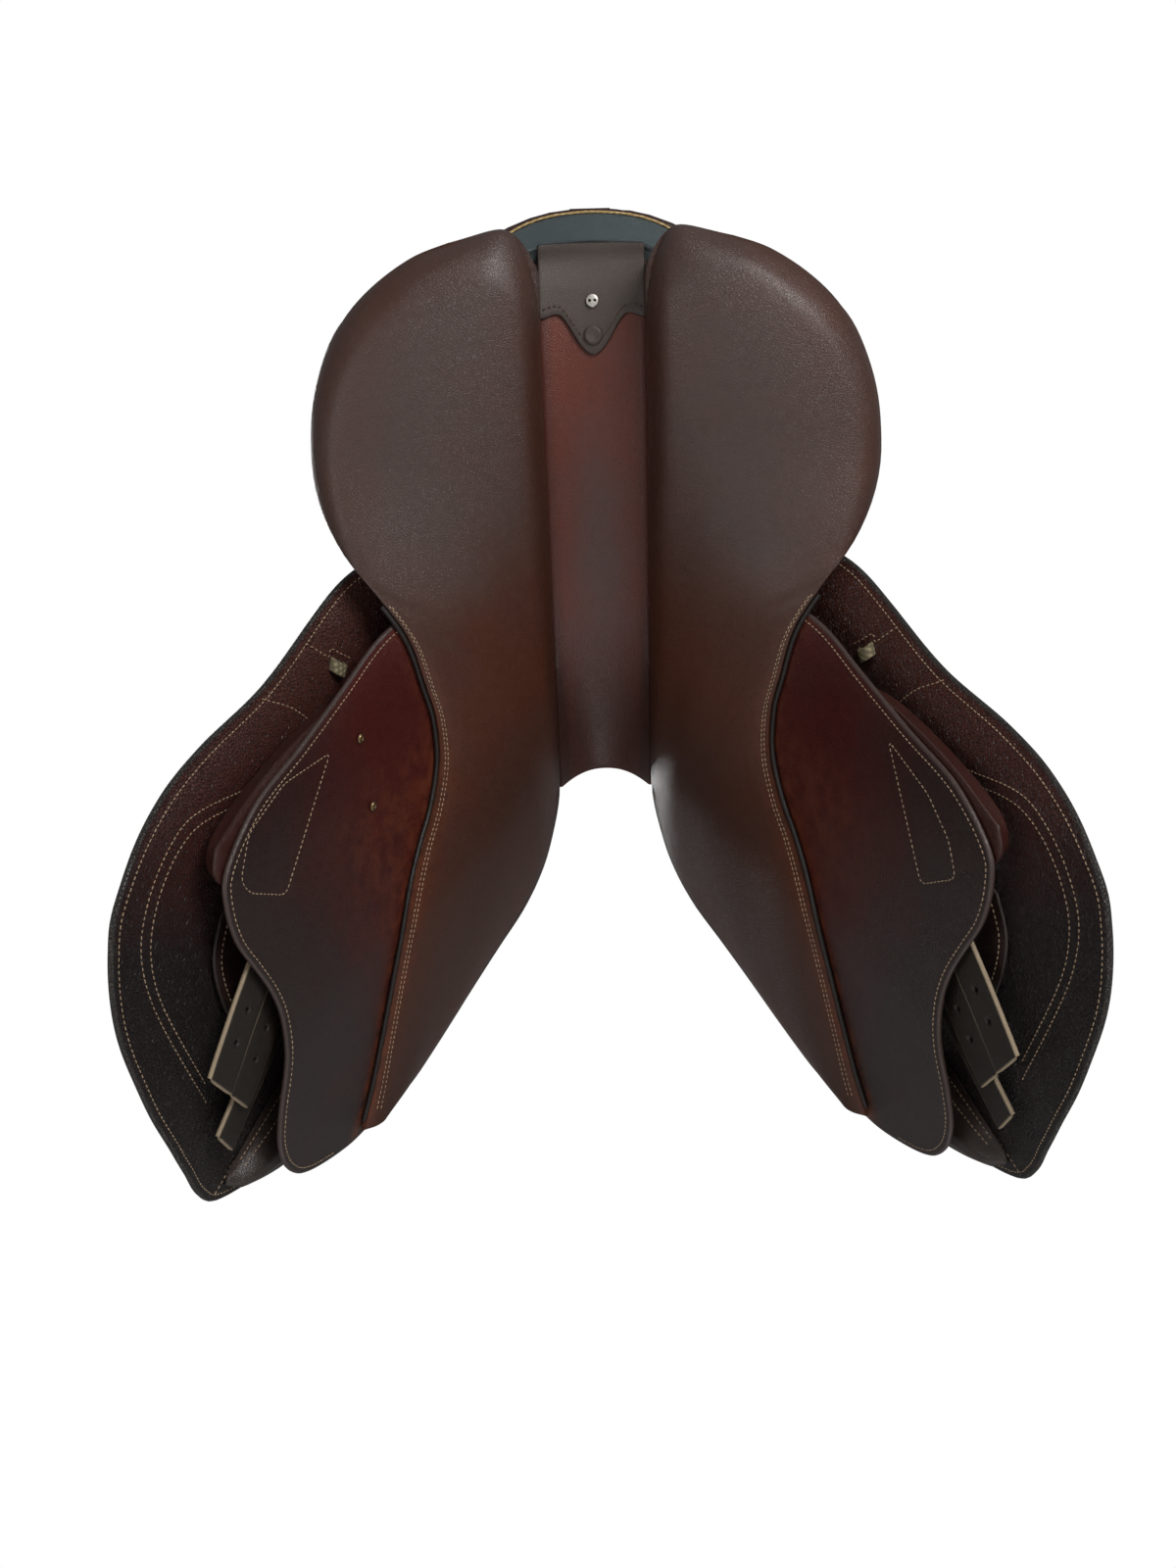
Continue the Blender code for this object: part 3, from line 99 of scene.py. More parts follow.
# Gullet and tree
GULLET_HALF = 0.036
LINING = 0.0025
LINING_REAR = -0.2095
ARCH_TOP = [(LINING_REAR, 0.0985), (-0.190, 0.087), (-0.150, 0.070), (-0.090, 0.054), (-0.030, 0.050),
            (0.030, 0.053), (0.085, 0.061), (0.135, 0.071), (0.175, 0.079), (SEAT_FRONT, 0.082)]
ARCH_DROP = [(LINING_REAR, 0.003), (0.060, 0.004), (0.140, 0.014), (SEAT_FRONT, 0.026)]
ARCH_FULLNESS = 2.2
DECK_SIDE = [(SEAT_REAR, 0.100), (-0.205, 0.091), (-0.165, 0.067), (CANTLE_Y, 0.051), (-0.060, 0.042),
             (-0.010, 0.036), (0.150, 0.039), (SEAT_FRONT, 0.046)]
TREE_SHY = 0.002
FOAM_UNDER = SEAT_LEATHER + SEAT_FOAM
TREE_REAR = -0.203

# Surface that bears on the horse
BEND_LENGTH = 0.170
LEAN_LENGTH = 0.050
BEARING_HEIGHT = [(-0.250, 0.050), (-0.200, 0.032), (-0.150, 0.020), (-0.100, 0.013), (-0.050, 0.010),
                  (0.000, 0.012), (0.050, 0.018), (0.100, 0.027), (0.150, 0.038), (0.200, 0.050),
                  (0.320, 0.062)]
SLOPE_AT_GULLET = [(-0.250, 10.0), (-0.120, 12.0), (-0.040, 18.0), (0.020, 24.0), (0.080, 33.0),
                   (0.140, 45.0), (0.190, 53.0), (0.320, 56.0)]
SLOPE_BELOW = [(-0.250, 4.0), (-0.120, 8.0), (-0.060, 30.0), (-0.010, 58.0), (0.030, 65.0), (0.320, 65.0)]

# Panels
PANEL_INNER = [(-0.238, 0.003), (-0.205, 0.0), (-0.150, 0.0), (-0.095, 0.0), (-0.045, 0.0), (0.0, 0.0),
               (0.045, 0.0), (0.090, 0.0), (0.135, 0.0), (0.175, 0.0), (0.210, 0.003), (0.240, 0.015),
               (0.266, 0.033), (0.288, 0.065), (0.299, 0.105), (0.309, 0.155), (0.317, 0.210),
               (0.320, 0.250), (0.314, 0.283)]
PANEL_OUTER = [(-0.246, 0.046), (-0.232, 0.084), (-0.198, 0.124), (-0.150, 0.149), (-0.105, 0.155),
               (-0.062, 0.146), (-0.030, 0.131), (0.0, 0.120), (0.035, 0.116), (0.065, 0.114),
               (0.097, 0.123), (0.123, 0.146), (0.141, 0.174), (0.160, 0.200), (0.183, 0.224),
               (0.212, 0.247), (0.246, 0.270), (0.280, 0.292), (0.306, 0.313)]
PANEL_CROWN = [(0.0, 0.010), (0.2, 0.015), (0.38, 0.011), (0.55, 0.010), (1.0, 0.006)]
PANEL_DEPTH = [(-0.250, 0.022), (-0.215, 0.056), (-0.100, 0.058), (-0.080, 0.042), (-0.062, 0.016),
               (-0.047, 0.0)]
PANEL_TOP_FADE = 0.046
PANEL_SHY = 0.0015
PANEL_REAR_TUCK = 0.35
PANEL_SEAM = 0.003
PANEL_ROUND = 0.016
PIPING_RADIUS = 0.0014

# Leather thicknesses and layers above the bearing surface
SWEAT_FLAP = 0.004
FLAP = 0.0045
FLAP_PLAY = 0.0038
SKIRT = 0.0035
BILLET = 0.0035
BILLET_LAYER_GAP = 0.0016
GUARD = 0.0025
GUARD_RISE = 0.0012
WEB = 0.0022
THIGH_BLOCK = 0.018
KNEE_BLOCK = 0.017
SWEAT_IN = 0.0008
SWEAT_OUT = SWEAT_IN + SWEAT_FLAP
WEB_IN = SWEAT_OUT + STRAP_GAP
BILLET_IN = WEB_IN + WEB + STRAP_GAP
BILLET_PITCH = BILLET + BILLET_LAYER_GAP
GUARD_IN = BILLET_IN + 2 * BILLET_PITCH + BILLET + 3 * GAP
FLAP_IN = GUARD_IN + GUARD + FLAP_PLAY
FLAP_OUT = FLAP_IN + FLAP

# Stirrup bar
BAR_Y = 0.095
BAR_S = 0.050
BAR_BASE = 0.0235
BAR_LENGTH = 0.100
BAR_PLATE = 0.005
BAR_ARM = 0.006
BAR_SLOT = 0.0075
SKIRT_OVER_BAR = BAR_BASE + BAR_PLATE + BAR_SLOT + BAR_ARM + 0.0025

# Outlines on the bearing surface: lists of (y, s)
SWEAT_TOP = [(-0.012, 0.058), (0.080, 0.058), (0.180, 0.058), (0.278, 0.058)]
SWEAT_REAR = [(-0.012, 0.058), (-0.010, 0.122), (0.003, 0.178), (0.014, 0.242), (0.022, 0.300),
              (0.040, 0.340)]
SWEAT_BOTTOM = [(0.040, 0.340), (0.058, 0.352), (0.082, 0.356), (0.105, 0.352), (0.127, 0.349),
                (0.148, 0.351), (0.170, 0.360), (0.190, 0.372), (0.210, 0.384), (0.235, 0.393),
                (0.262, 0.390), (0.285, 0.372)]
SWEAT_FRONT = [(0.278, 0.058), (0.296, 0.095), (0.304, 0.130), (0.313, 0.170), (0.319, 0.215),
               (0.321, 0.248), (0.315, 0.283), (0.308, 0.325), (0.285, 0.372)]
FLAP_TOP = [(-0.045, 0.040), (0.040, 0.040), (0.120, 0.040), (0.178, 0.046)]
FLAP_REAR = [(-0.045, 0.040), (-0.041, 0.090), (-0.034, 0.130), (-0.018, 0.172), (-0.006, 0.225),
             (-0.001, 0.290), (0.005, 0.335), (0.016, 0.374)]
FLAP_BOTTOM = [(0.016, 0.374), (0.033, 0.404), (0.052, 0.420), (0.075, 0.433), (0.100, 0.442),
               (0.130, 0.447), (0.160, 0.450), (0.190, 0.450), (0.215, 0.447), (0.240, 0.443),
               (0.262, 0.430)]
FLAP_FRONT = [(0.178, 0.046), (0.240, 0.062), (0.285, 0.092), (0.312, 0.130), (0.326, 0.180),
              (0.327, 0.230), (0.318, 0.290), (0.303, 0.340), (0.286, 0.385), (0.262, 0.430)]
SKIRT_TOP = [(-0.022, 0.041), (0.045, 0.041), (0.120, 0.041), (0.178, 0.047)]
SKIRT_REAR = [(-0.022, 0.041), (-0.035, 0.082), (-0.024, 0.120), (0.004, 0.150)]
SKIRT_BOTTOM = [(0.004, 0.150), (0.050, 0.166), (0.100, 0.168), (0.150, 0.154)]
SKIRT_FRONT = [(0.178, 0.047), (0.190, 0.080), (0.180, 0.124), (0.150, 0.154)]
THIGH_TOP = [(0.012, 0.188), (0.024, 0.182), (0.036, 0.188)]
THIGH_REAR = [(0.012, 0.188), (0.013, 0.240), (0.018, 0.290), (0.028, 0.338)]
THIGH_BOTTOM = [(0.028, 0.338), (0.042, 0.347), (0.056, 0.338)]
THIGH_FRONT = [(0.036, 0.188), (0.050, 0.240), (0.060, 0.290), (0.056, 0.338)]
KNEE_TOP = [(0.262, 0.150), (0.284, 0.142), (0.308, 0.152)]
KNEE_REAR = [(0.262, 0.150), (0.248, 0.220), (0.229, 0.290), (0.226, 0.340), (0.238, 0.385), (0.249, 0.418)]
KNEE_BOTTOM = [(0.249, 0.418), (0.255, 0.422), (0.262, 0.418)]
KNEE_FRONT = [(0.308, 0.152), (0.318, 0.200), (0.316, 0.260), (0.300, 0.325), (0.281, 0.375), (0.262, 0.418)]
GUARD_TOP = [(0.074, 0.225), (0.135, 0.215), (0.192, 0.225)]
GUARD_REAR = [(0.074, 0.225), (0.072, 0.290), (0.082, 0.340)]
GUARD_BOTTOM = [(0.082, 0.340), (0.104, 0.362), (0.140, 0.370), (0.172, 0.362), (0.196, 0.335)]
GUARD_FRONT = [(0.192, 0.225), (0.202, 0.280), (0.196, 0.335)]

# Web, by strap level: (y, level) across it
WEB_STEPS = [(0.036, 0), (0.0645, 0), (0.0665, 1), (0.0946, 1), (0.0957, 2), (0.124, 2)]
WEB_STEP_S = 0.150
WEB_TOP_S = 0.027
WEB_BOTTOM_S = 0.172
WEB_PACK_S = 0.105
WEB_PACK_RISE = 0.022
WEB_SHY = 0.0015

# Billets: where each swings, and how it hangs
BILLET_WIDTH = 0.025
BILLET_LENGTH = 0.287
BILLET_TOPS = [("rear", 0.050, 0.150), ("middle", 0.078, 0.140), ("front", 0.104, 0.158)]
BILLET_LEAN_TOP = math.radians(12.0)
BILLET_LEAN_TIP = math.radians(32.0)
BILLET_TIP_CUT = 0.006

# Small fittings
WELT_RADIUS = 0.0016
TAB = 0.0022
TAB_HALF = 0.0345
SCREW_Y = -0.183
SCREW_HEAD_RADIUS = 0.0046
SCREW_SHANK_RADIUS = 0.002
SCREW_DEPTH = 0.006
SCREW_HEAD = 0.0018
BUTTON_Y = -0.158
BUTTON_RADIUS = 0.0065
BUTTON = 0.0016
RIVETS = [("upper", 0.037, 0.191), ("lower", 0.085, 0.201)]
RIVET_RADIUS = 0.0034
RIVET_HEAD = 0.0012
NAIL_RADIUS = 0.0055
NAIL_HEAD = 0.0025
NAIL_Y = 0.168
CANTLE_FACING = 0.0022
CANTLE_TUCK = 0.009
CANTLE_FACING_FRONT = -0.052
CANTLE_PIPING_RADIUS = 0.0011
POMMEL_FACING = 0.003
DEE_X = 0.054
DEE_Z = 0.084
DEE_HALF = 0.014
DEE_DROP = 0.026
DEE_WIRE = 0.002
STAPLE_HALF = 0.0045
STAPLE_WIRE = 0.0014
KEEPER_LENGTH = 0.012
KEEPER_WIDTH = 0.007
KEEPER_DEPTH = 0.006
KEEPER_STRAP = 0.0015


def through(points, x):
    """Smooth curve through (x, value) points, level beyond its ends."""
    if x <= points[0][0]:
        return points[0][1]
    if x >= points[-1][0]:
        return points[-1][1]
    i = 0
    while points[i + 1][0] < x:
        i += 1
    width = points[i + 1][0] - points[i][0]
    t = (x - points[i][0]) / width

    def slope(k):
        low = max(k - 1, 0)
        high = min(k + 1, len(points) - 1)
        rise = (points[high][1] - points[low][1]) / (points[high][0] - points[low][0])
        return rise * (1.0 if high - low == 2 else 0.5)

    start = points[i][1] * (2 * t ** 3 - 3 * t ** 2 + 1) + slope(i) * width * (t ** 3 - 2 * t ** 2 + t)
    end = points[i + 1][1] * (3 * t ** 2 - 2 * t ** 3) + slope(i + 1) * width * (t ** 3 - t ** 2)
    return start + end


def ease(t):
    """From 0 to 1 with level ends."""
    t = min(1.0, max(0.0, t))
    return t * t * (3.0 - 2.0 * t)


def along(points, t):
    """Point at t from 0 to 1 on a smooth curve through points, by their spacing."""
    spans = [math.dist(points[i], points[i + 1]) for i in range(len(points) - 1)]
    target = t * sum(spans)
    i = 0
    while i < len(spans) - 1 and target > spans[i]:
        target -= spans[i]
        i += 1
    u = min(1.0, target / spans[i])
    before = points[i - 1] if i > 0 else [2 * a - b for a, b in zip(points[0], points[1])]
    after = points[i + 2] if i + 2 < len(points) else [2 * a - b for a, b in zip(points[-1], points[-2])]

    def blend(a, b, c, d):
        square = (2 * a - 5 * b + 4 * c - d) * u * u
        return 0.5 * (2 * b + (c - a) * u + square + (3 * b - a - 3 * c + d) * u ** 3)

    return tuple(blend(a, b, c, d) for a, b, c, d in zip(before, points[i], points[i + 1], after))


def patch(top, bottom, rear, front, across, down):
    """Grid of (y, s) that fills four edges, its rows from the top edge to the bottom edge."""
    rows = []
    for j in range(down + 1):
        v = j / down
        row = []
        for u in [i / across for i in range(across + 1)]:
            a = along(top, u)
            b = along(bottom, u)
            c = along(rear, v)
            d = along(front, v)
            point = []
            for k in range(2):
                edges = (1 - v) * a[k] + v * b[k] + (1 - u) * c[k] + u * d[k]
                corners = (1 - v) * ((1 - u) * top[0][k] + u * top[-1][k])
                corners += v * ((1 - u) * bottom[0][k] + u * bottom[-1][k])
                point.append(edges - corners)
            row.append(tuple(point))
        rows.append(row)
    return rows


def slope_at(y, s):
    """How steeply the bearing surface falls away outwards, in radians."""
    a0 = math.radians(through(SLOPE_AT_GULLET, y))
    a1 = math.radians(through(SLOPE_BELOW, y))
    return a0 + (a1 - a0) * min(s, BEND_LENGTH) / BEND_LENGTH


def bearing(y, s, height=0.0):
    """Point above the surface that bears on the horse, on the right side."""
    a0 = slope_at(y, 0.0)
    bend = (slope_at(y, BEND_LENGTH) - a0) / BEND_LENGTH
    slope = slope_at(y, s)
    straight = max(0.0, s - BEND_LENGTH)
    x = GULLET_HALF + (math.sin(slope) - math.sin(a0)) / bend + straight * math.cos(slope)
    z = through(BEARING_HEIGHT, y) + (math.cos(slope) - math.cos(a0)) / bend - straight * math.sin(slope)
    lean = slope * min(1.0, max(0.0, s / LEAN_LENGTH))
    return Vector((x + height * math.sin(lean), y, z + height * math.cos(lean)))


def seat_half(y, inset=0.0):
    """Half the seat's width at y, drawn in by inset."""
    if y < CANTLE_Y:
        reach = (CANTLE_Y - y) / (CANTLE_Y - SEAT_REAR - inset)
        return (CANTLE_HALF - inset) * math.sqrt(max(0.0, 1.0 - reach * reach))
    return through(SEAT_HALF, y) - inset


def seat_edge(y, inset=0.0):
    """Height of the seat's edge, or of a layer's."""
    return through(SEAT_EDGE, y) - inset * through(RIM_DROP, y)


def seat_height(x, y, inset=0.0):
    """Height of the seat's layer that lies inset below its surface."""
    edge = seat_edge(y, inset)
    rise = through(SEAT_CENTRE, y) - inset - edge
    ratio = min(1.0, abs(x) / max(seat_half(y, inset), 1e-6))
    if rise < 0.0:
        return edge + rise * (1.0 - ratio * ratio)
    fullness = through(SEAT_FULLNESS, y)
    return edge + rise * (1.0 - ratio ** fullness) ** (1.0 / fullness)


def lining_height(x, y):
    """Underside of the gullet lining."""
    return through(ARCH_TOP, y) - through(ARCH_DROP, y) * min(1.0, abs(x) / GULLET_HALF) ** ARCH_FULLNESS


def tree_half(y):
    """Half the tree's width."""
    return seat_half(y, FOAM_UNDER) - TREE_SHY


def deck(x, y):
    """Surface between the tree above and the lining and panels below."""
    middle = lining_height(x, y) + LINING + GAP
    across = tree_half(max(y, TREE_REAR)) - GULLET_HALF
    if abs(x) <= GULLET_HALF:
        return middle
    return middle + (through(DECK_SIDE, y) - middle) * min(1.0, (abs(x) - GULLET_HALF) / across)


def bearing_frame(y, s, height, side):
    """Frame that stands on the bearing surface: forward, down along it, out of it."""
    place = bearing(y, s, height)
    slope = slope_at(y, s)
    forward = Vector((0.0, 1.0, 0.0))
    down = Vector((side * math.cos(slope), 0.0, -math.sin(slope)))
    out = Vector((side * math.sin(slope), 0.0, math.cos(slope)))
    frame = Matrix((forward, down, out)).transposed().to_4x4()
    frame.translation = Vector((side * place.x, place.y, place.z))
    return frame


def colour(code):
    """Linear colour of an sRGB hex code."""
    parts = [int(code[k:k + 2], 16) / 255 for k in (1, 3, 5)]
    return (*[p / 12.92 if p <= 0.04045 else ((p + 0.055) / 1.055) ** 2.4 for p in parts], 1.0)


def add(tree, kind, settings=None, inputs=None):
    """Add a node with its settings, its fixed inputs and its links."""
    node = tree.nodes.new(kind)
    for name, value in (settings or {}).items():
        setattr(node, name, value)
    for socket, value in (inputs or {}).items():
        if isinstance(value, bpy.types.NodeSocket):
            tree.links.new(value, node.inputs[socket])
        else:
            node.inputs[socket].default_value = value
    return node


def blank(name):
    """New material, its node tree and its shader."""
    made = bpy.data.materials.new(name)
    made.use_nodes = True
    return made, made.node_tree, made.node_tree.nodes["Principled BSDF"]


# Noise scales per metre and details: broad mottling of about 45 mm, the fine one of about 6 mm,
# and the patches of about 12 mm where the dye has rubbed off
MOTTLING = (22.0, 3.0)
FINE = (160.0, 2.0)
PATCHES = (80.0, 4.0)
# Hide that shows where the dye has rubbed off
TAN = "#6e3820"


def leather(name, face, worn, dark, edge, roughness, grain, relief):
    """Leather: mottled face, grain with creases, paler where rubbed and under a painted sheen, darker under
    the dark mask (painted shade on panels, flaps and lining), burnished edges.
    """
    made, tree, shader = blank(name)
    place = add(tree, "ShaderNodeTexCoord").outputs["Object"]
    bent = add(tree, "ShaderNodeTexNoise", {}, {"Vector": place, "Scale": 1 / (3 * grain), "Detail": 1.0})
    offset = add(tree, "ShaderNodeVectorMath", {"operation": "SCALE"},
                 {0: bent.outputs["Color"], "Scale": 0.9 * grain})
    shifted = add(tree, "ShaderNodeVectorMath", {"operation": "ADD"}, {0: place, 1: offset.outputs[0]})
    cells = add(tree, "ShaderNodeTexVoronoi", {"feature": "DISTANCE_TO_EDGE"},
                {"Vector": shifted.outputs[0], "Scale": 1 / grain}).outputs["Distance"]
    pebble = add(tree, "ShaderNodeMapRange", {"interpolation_type": "SMOOTHSTEP"},
                 {"Value": cells, "From Max": 0.16}).outputs["Result"]
    broad, fine, patches = [add(tree, "ShaderNodeTexNoise", {},
                                {"Vector": place, "Scale": scale, "Detail": detail}).outputs["Fac"]
                            for scale, detail in (MOTTLING, FINE, PATCHES)]
    # worn mixes in the paler tint: rubbing, plus a painted sheen on the panels' rear lobes and the lining;
    # dark mixes in the dark tint: painted shade on the panels, flaps and lining
    rub_and_sheen, darkening, rim, bare = [add(tree, "ShaderNodeAttribute", {"attribute_name": label}).outputs["Fac"]
                                 for label in ("worn", "dark", "edge", "tan")]
    swing = add(tree, "ShaderNodeMapRange", {},
                {"Value": broad, "From Min": 0.3, "From Max": 0.7, "To Min": -0.16, "To Max": 0.16})
    amount = add(tree, "ShaderNodeMath", {"operation": "ADD", "use_clamp": True},
                 {0: rub_and_sheen, 1: swing.outputs[0]}).outputs[0]
    patchy = add(tree, "ShaderNodeMapRange", {},
                 {"Value": patches, "From Min": 0.32, "From Max": 0.62}).outputs["Result"]
    thinned = add(tree, "ShaderNodeMath", {"operation": "MULTIPLY"}, {0: bare, 1: patchy}).outputs[0]
    base = colour(face)
    for share, tint in ((amount, worn), (darkening, dark), (thinned, TAN), (rim, edge)):
        base = add(tree, "ShaderNodeMix", {"data_type": "RGBA"},
                   {0: share, 6: base, 7: colour(tint)}).outputs[2]
    # the colour is darker in the grain's valleys, the more so the coarser the grain
    valley = add(tree, "ShaderNodeMapRange", {},
                 {"Value": pebble, "To Min": max(0.4, 1.0 - 900 * relief), "To Max": 1.04}).outputs["Result"]
    specks = add(tree, "ShaderNodeMapRange", {}, {"Value": fine, "To Min": 0.86, "To Max": 1.14})
    level = add(tree, "ShaderNodeMath", {"operation": "MULTIPLY"}, {0: valley, 1: specks.outputs[0]})
    tinted = add(tree, "ShaderNodeVectorMath", {"operation": "SCALE"}, {0: base, "Scale": level.outputs[0]})
    gloss = add(tree, "ShaderNodeMapRange", {},
                {"Value": fine, "To Min": roughness - 0.07, "To Max": roughness + 0.07})
    height = add(tree, "ShaderNodeMath", {"operation": "MULTIPLY_ADD"}, {0: fine, 1: 0.35, 2: pebble})
    bump = add(tree, "ShaderNodeBump", {}, {"Strength": 1.0, "Distance": relief, "Height": height.outputs[0]})
    for socket, node in (("Base Color", tinted), ("Roughness", gloss), ("Normal", bump)):
        tree.links.new(node.outputs[0], shader.inputs[socket])
    shader.inputs["IOR"].default_value = 1.5
    return made


def metal(name, tint, roughness, scratch):
    """Metal: even colour, roughness that drifts a little, fine rubbing marks."""
    made, tree, shader = blank(name)
    place = add(tree, "ShaderNodeTexCoord").outputs["Object"]
    marks = add(tree, "ShaderNodeTexNoise", {},
                {"Vector": place, "Scale": 420.0, "Detail": 4.0}).outputs["Fac"]
    gloss = add(tree, "ShaderNodeMapRange", {},
                {"Value": marks, "To Min": roughness - 0.06, "To Max": roughness + 0.10})
    bump = add(tree, "ShaderNodeBump", {}, {"Strength": 0.5, "Distance": scratch, "Height": marks})
    shader.inputs["Base Color"].default_value = colour(tint)
    shader.inputs["Metallic"].default_value = 1.0
    tree.links.new(gloss.outputs[0], shader.inputs["Roughness"])
    tree.links.new(bump.outputs[0], shader.inputs["Normal"])
    return made


def two_toned(name, light, shade, roughness, pattern, relief=0.0, strength=1.0):
    """Cloth, thread, wood or foam: two tones and a relief that follow one pattern, edges in the dark tone."""
    made, tree, shader = blank(name)
    value = pattern(tree, add(tree, "ShaderNodeTexCoord").outputs["Object"])
    rim = add(tree, "ShaderNodeAttribute", {"attribute_name": "edge"}).outputs["Fac"]
    face = add(tree, "ShaderNodeMix", {"data_type": "RGBA"},
               {0: value, 6: colour(shade), 7: colour(light)}).outputs[2]
    face = add(tree, "ShaderNodeMix", {"data_type": "RGBA"}, {0: rim, 6: face, 7: colour(shade)}).outputs[2]
    tree.links.new(face, shader.inputs["Base Color"])
    shader.inputs["Roughness"].default_value = roughness
    if relief:
        bump = add(tree, "ShaderNodeBump", {}, {"Strength": strength, "Distance": relief, "Height": value})
        tree.links.new(bump.outputs[0], shader.inputs["Normal"])
    return made


def weave(pitch):
    """Threads that cross at the pitch."""

    def pattern(tree, place):
        inputs = {"Vector": place, "Scale": 0.16 / pitch, "Detail": 1.0}
        warp, weft = [add(tree, "ShaderNodeTexWave", {"bands_direction": bands},
                          {**inputs, "Distortion": bending}).outputs["Fac"]
                      for bands, bending in (("DIAGONAL", 0.6), ("Y", 0.4))]
        return add(tree, "ShaderNodeMath", {"operation": "MULTIPLY"}, {0: warp, 1: weft}).outputs[0]

    return pattern


def plies(tree, place):
    """Tone that changes with the thread's plies, about every 4 mm."""
    return add(tree, "ShaderNodeTexNoise", {},
               {"Vector": place, "Scale": 260.0, "Detail": 1.0}).outputs["Fac"]


def laminate(tree, place):
    """Thin layers and long grain along the tree."""
    drawn = add(tree, "ShaderNodeVectorMath", {"operation": "MULTIPLY"}, {0: place, 1: (60.0, 5.0, 260.0)})
    return add(tree, "ShaderNodeTexNoise", {},
               {"Vector": drawn.outputs[0], "Scale": 1.0, "Detail": 4.0}).outputs["Fac"]


def open_cells(tree, place):
    """Cells of about 2 mm."""
    return add(tree, "ShaderNodeTexVoronoi", {}, {"Vector": place, "Scale": 500.0}).outputs["Distance"]


# Cushion calf: smooth and close grained; the grey on the rear lobes is a painted sheen
calf = leather("smooth calf leather", "#4f2a1b", "#483733", "#2c170e", "#4c2a24", 0.38, 0.0016, 0.00010)
# Sweat flap hide: red-brown above, grey-brown below, with a thick rolled edge
hide_red = leather("red-brown flap hide", "#451511", "#2e2422", "#1c0e0d", "#423430", 0.38, 0.0018, 0.00010)
# Flap leather: pebbled grain drawn at 2.2 mm so that it shows, dark burnished edge
pebbled = leather("pebbled flap leather", "#3f1710", "#4e2416", "#0c0706", "#34302d", 0.48, 0.0022, 0.00070)
# Seat leather: soft fine grain, satin
seat_hide = leather("soft grained seat leather", "#371b14", "#452a20", "#120b09", "#34221c",
                    0.40, 0.0018, 0.00018)
# Gullet lining: satin red-brown; a painted sheen greys it along its middle
lining_hide = leather("gullet lining leather", "#6a2f20", "#544340", "#3a1c13", "#45231b",
                      0.36, 0.0015, 0.00008)
# Rear tab: grey-brown, duller than the lining
tab_hide = leather("grey-brown tab leather", "#4c413b", "#584d48", "#27211f", "#241c19",
                   0.45, 0.0014, 0.00008)
# Cantle leather: blue-grey, smooth
cantle_hide = leather("blue-grey cantle leather", "#475154", "#586366", "#202527", "#272c2e",
                      0.36, 0.0016, 0.00010)
# Cantle wall: the same leather, darker as painted shade
shaded_wall_hide = leather("dark grey cantle leather", "#2f3435", "#3b4041", "#17191a", "#25292a",
                    0.38, 0.0016, 0.00012)
# Block covers: thin dark brown hide stretched over foam
block_hide = leather("block cover leather", "#3a1a14", "#362b26", "#140c0a", "#241511", 0.40, 0.0016, 0.00012)
# Strap leather: cut straps with pale raw edges
strap_hide = leather("cut strap leather", "#221a14", "#3a3025", "#0e0a08", "#a08e74", 0.52, 0.0014, 0.0001)
# Buckle guard: dark smooth sheet
guard_hide = leather("guard leather", "#22120f", "#32211d", "#0e0908", "#2e2420", 0.42, 0.0016, 0.0001)
# Piping: thin dark leather over cord
piping_hide = leather("dark piping leather", "#1c1614", "#332823", "#0c0908", "#1c1614",
                      0.42, 0.0012, 0.00006)
# Gold cord of the cantle: twisted metallic thread, dull gold
gold_cord = two_toned("gold cord", "#d6bd8a", "#a88c58", 0.8, weave(0.0012), 0.0002)
# Nylon webbing: pale, with a 1.4 mm weave
webbing = two_toned("nylon webbing", "#b9b09c", "#7c7465", 0.8, weave(0.0014), 0.0002)
# Keeper webbing: the same weave, browned by grease
keeper_webbing = two_toned("worn keeper webbing", "#948969", "#584f3a", 0.8, weave(0.0014), 0.0002)
# Cream thread: the pale stitching that shows
cream_thread = two_toned("cream waxed thread", "#bfa588", "#8a735c", 0.55, plies)
# Brown thread: stitching that hardly shows
brown_thread = two_toned("brown waxed thread", "#6b4a38", "#3a261c", 0.55, plies)
# Beech: pale wood with fine lines along the tree
beech = two_toned("laminated beech", "#b98d5c", "#7d5730", 0.6, laminate, 0.0002, 0.6)
# Latex: pale yellow foam with open cells
latex = two_toned("latex foam", "#d9cfb0", "#9c9070", 0.9, open_cells, 0.0005)
# Nickel: bright but satin, on small hardware
nickel = metal("nickel plate", "#d8d4cb", 0.34, 0.00002)
# Rivets: brass gone dull
dull_brass = metal("dull brass", "#8a7557", 0.42, 0.00004)
# Screw holes: painted shade, near-black metal inside the spanner holes
painted_shade_metal = metal("blackened recess", "#1a1817", 0.7, 0.00004)
# Stirrup bars, springs and head plate: grey steel, rough from the forge
forged = metal("forged steel", "#74757a", 0.40, 0.00006)


# Furthest that the rim of a sheet swells out
RIM_SWELL = 0.0025
# Stitches: size, pitch, seed of their small differences, height of their middles over the leather
STITCH_LENGTH = 0.0024
STITCH_RADIUS = 0.00040
STITCH_PITCH = 0.0037
STITCH_SEED = 7
THREAD_LIFT = 0.0001

X_AXIS = Vector((1.0, 0.0, 0.0))
Y_AXIS = Vector((0.0, 1.0, 0.0))
Z_AXIS = Vector((0.0, 0.0, 1.0))


def show(name, data):
    """Object in the scene for a mesh, a lamp or a lens."""
    made = bpy.data.objects.new(name, data)
    bpy.context.scene.collection.objects.link(made)
    return made


def dress(mesh, finish, sharp):
    """Give a mesh its material, smooth but for edges that turn more than an angle in degrees."""
    mesh.materials.append(finish)
    mesh.shade_smooth()
    mesh.set_sharp_from_angle(angle=math.radians(sharp))


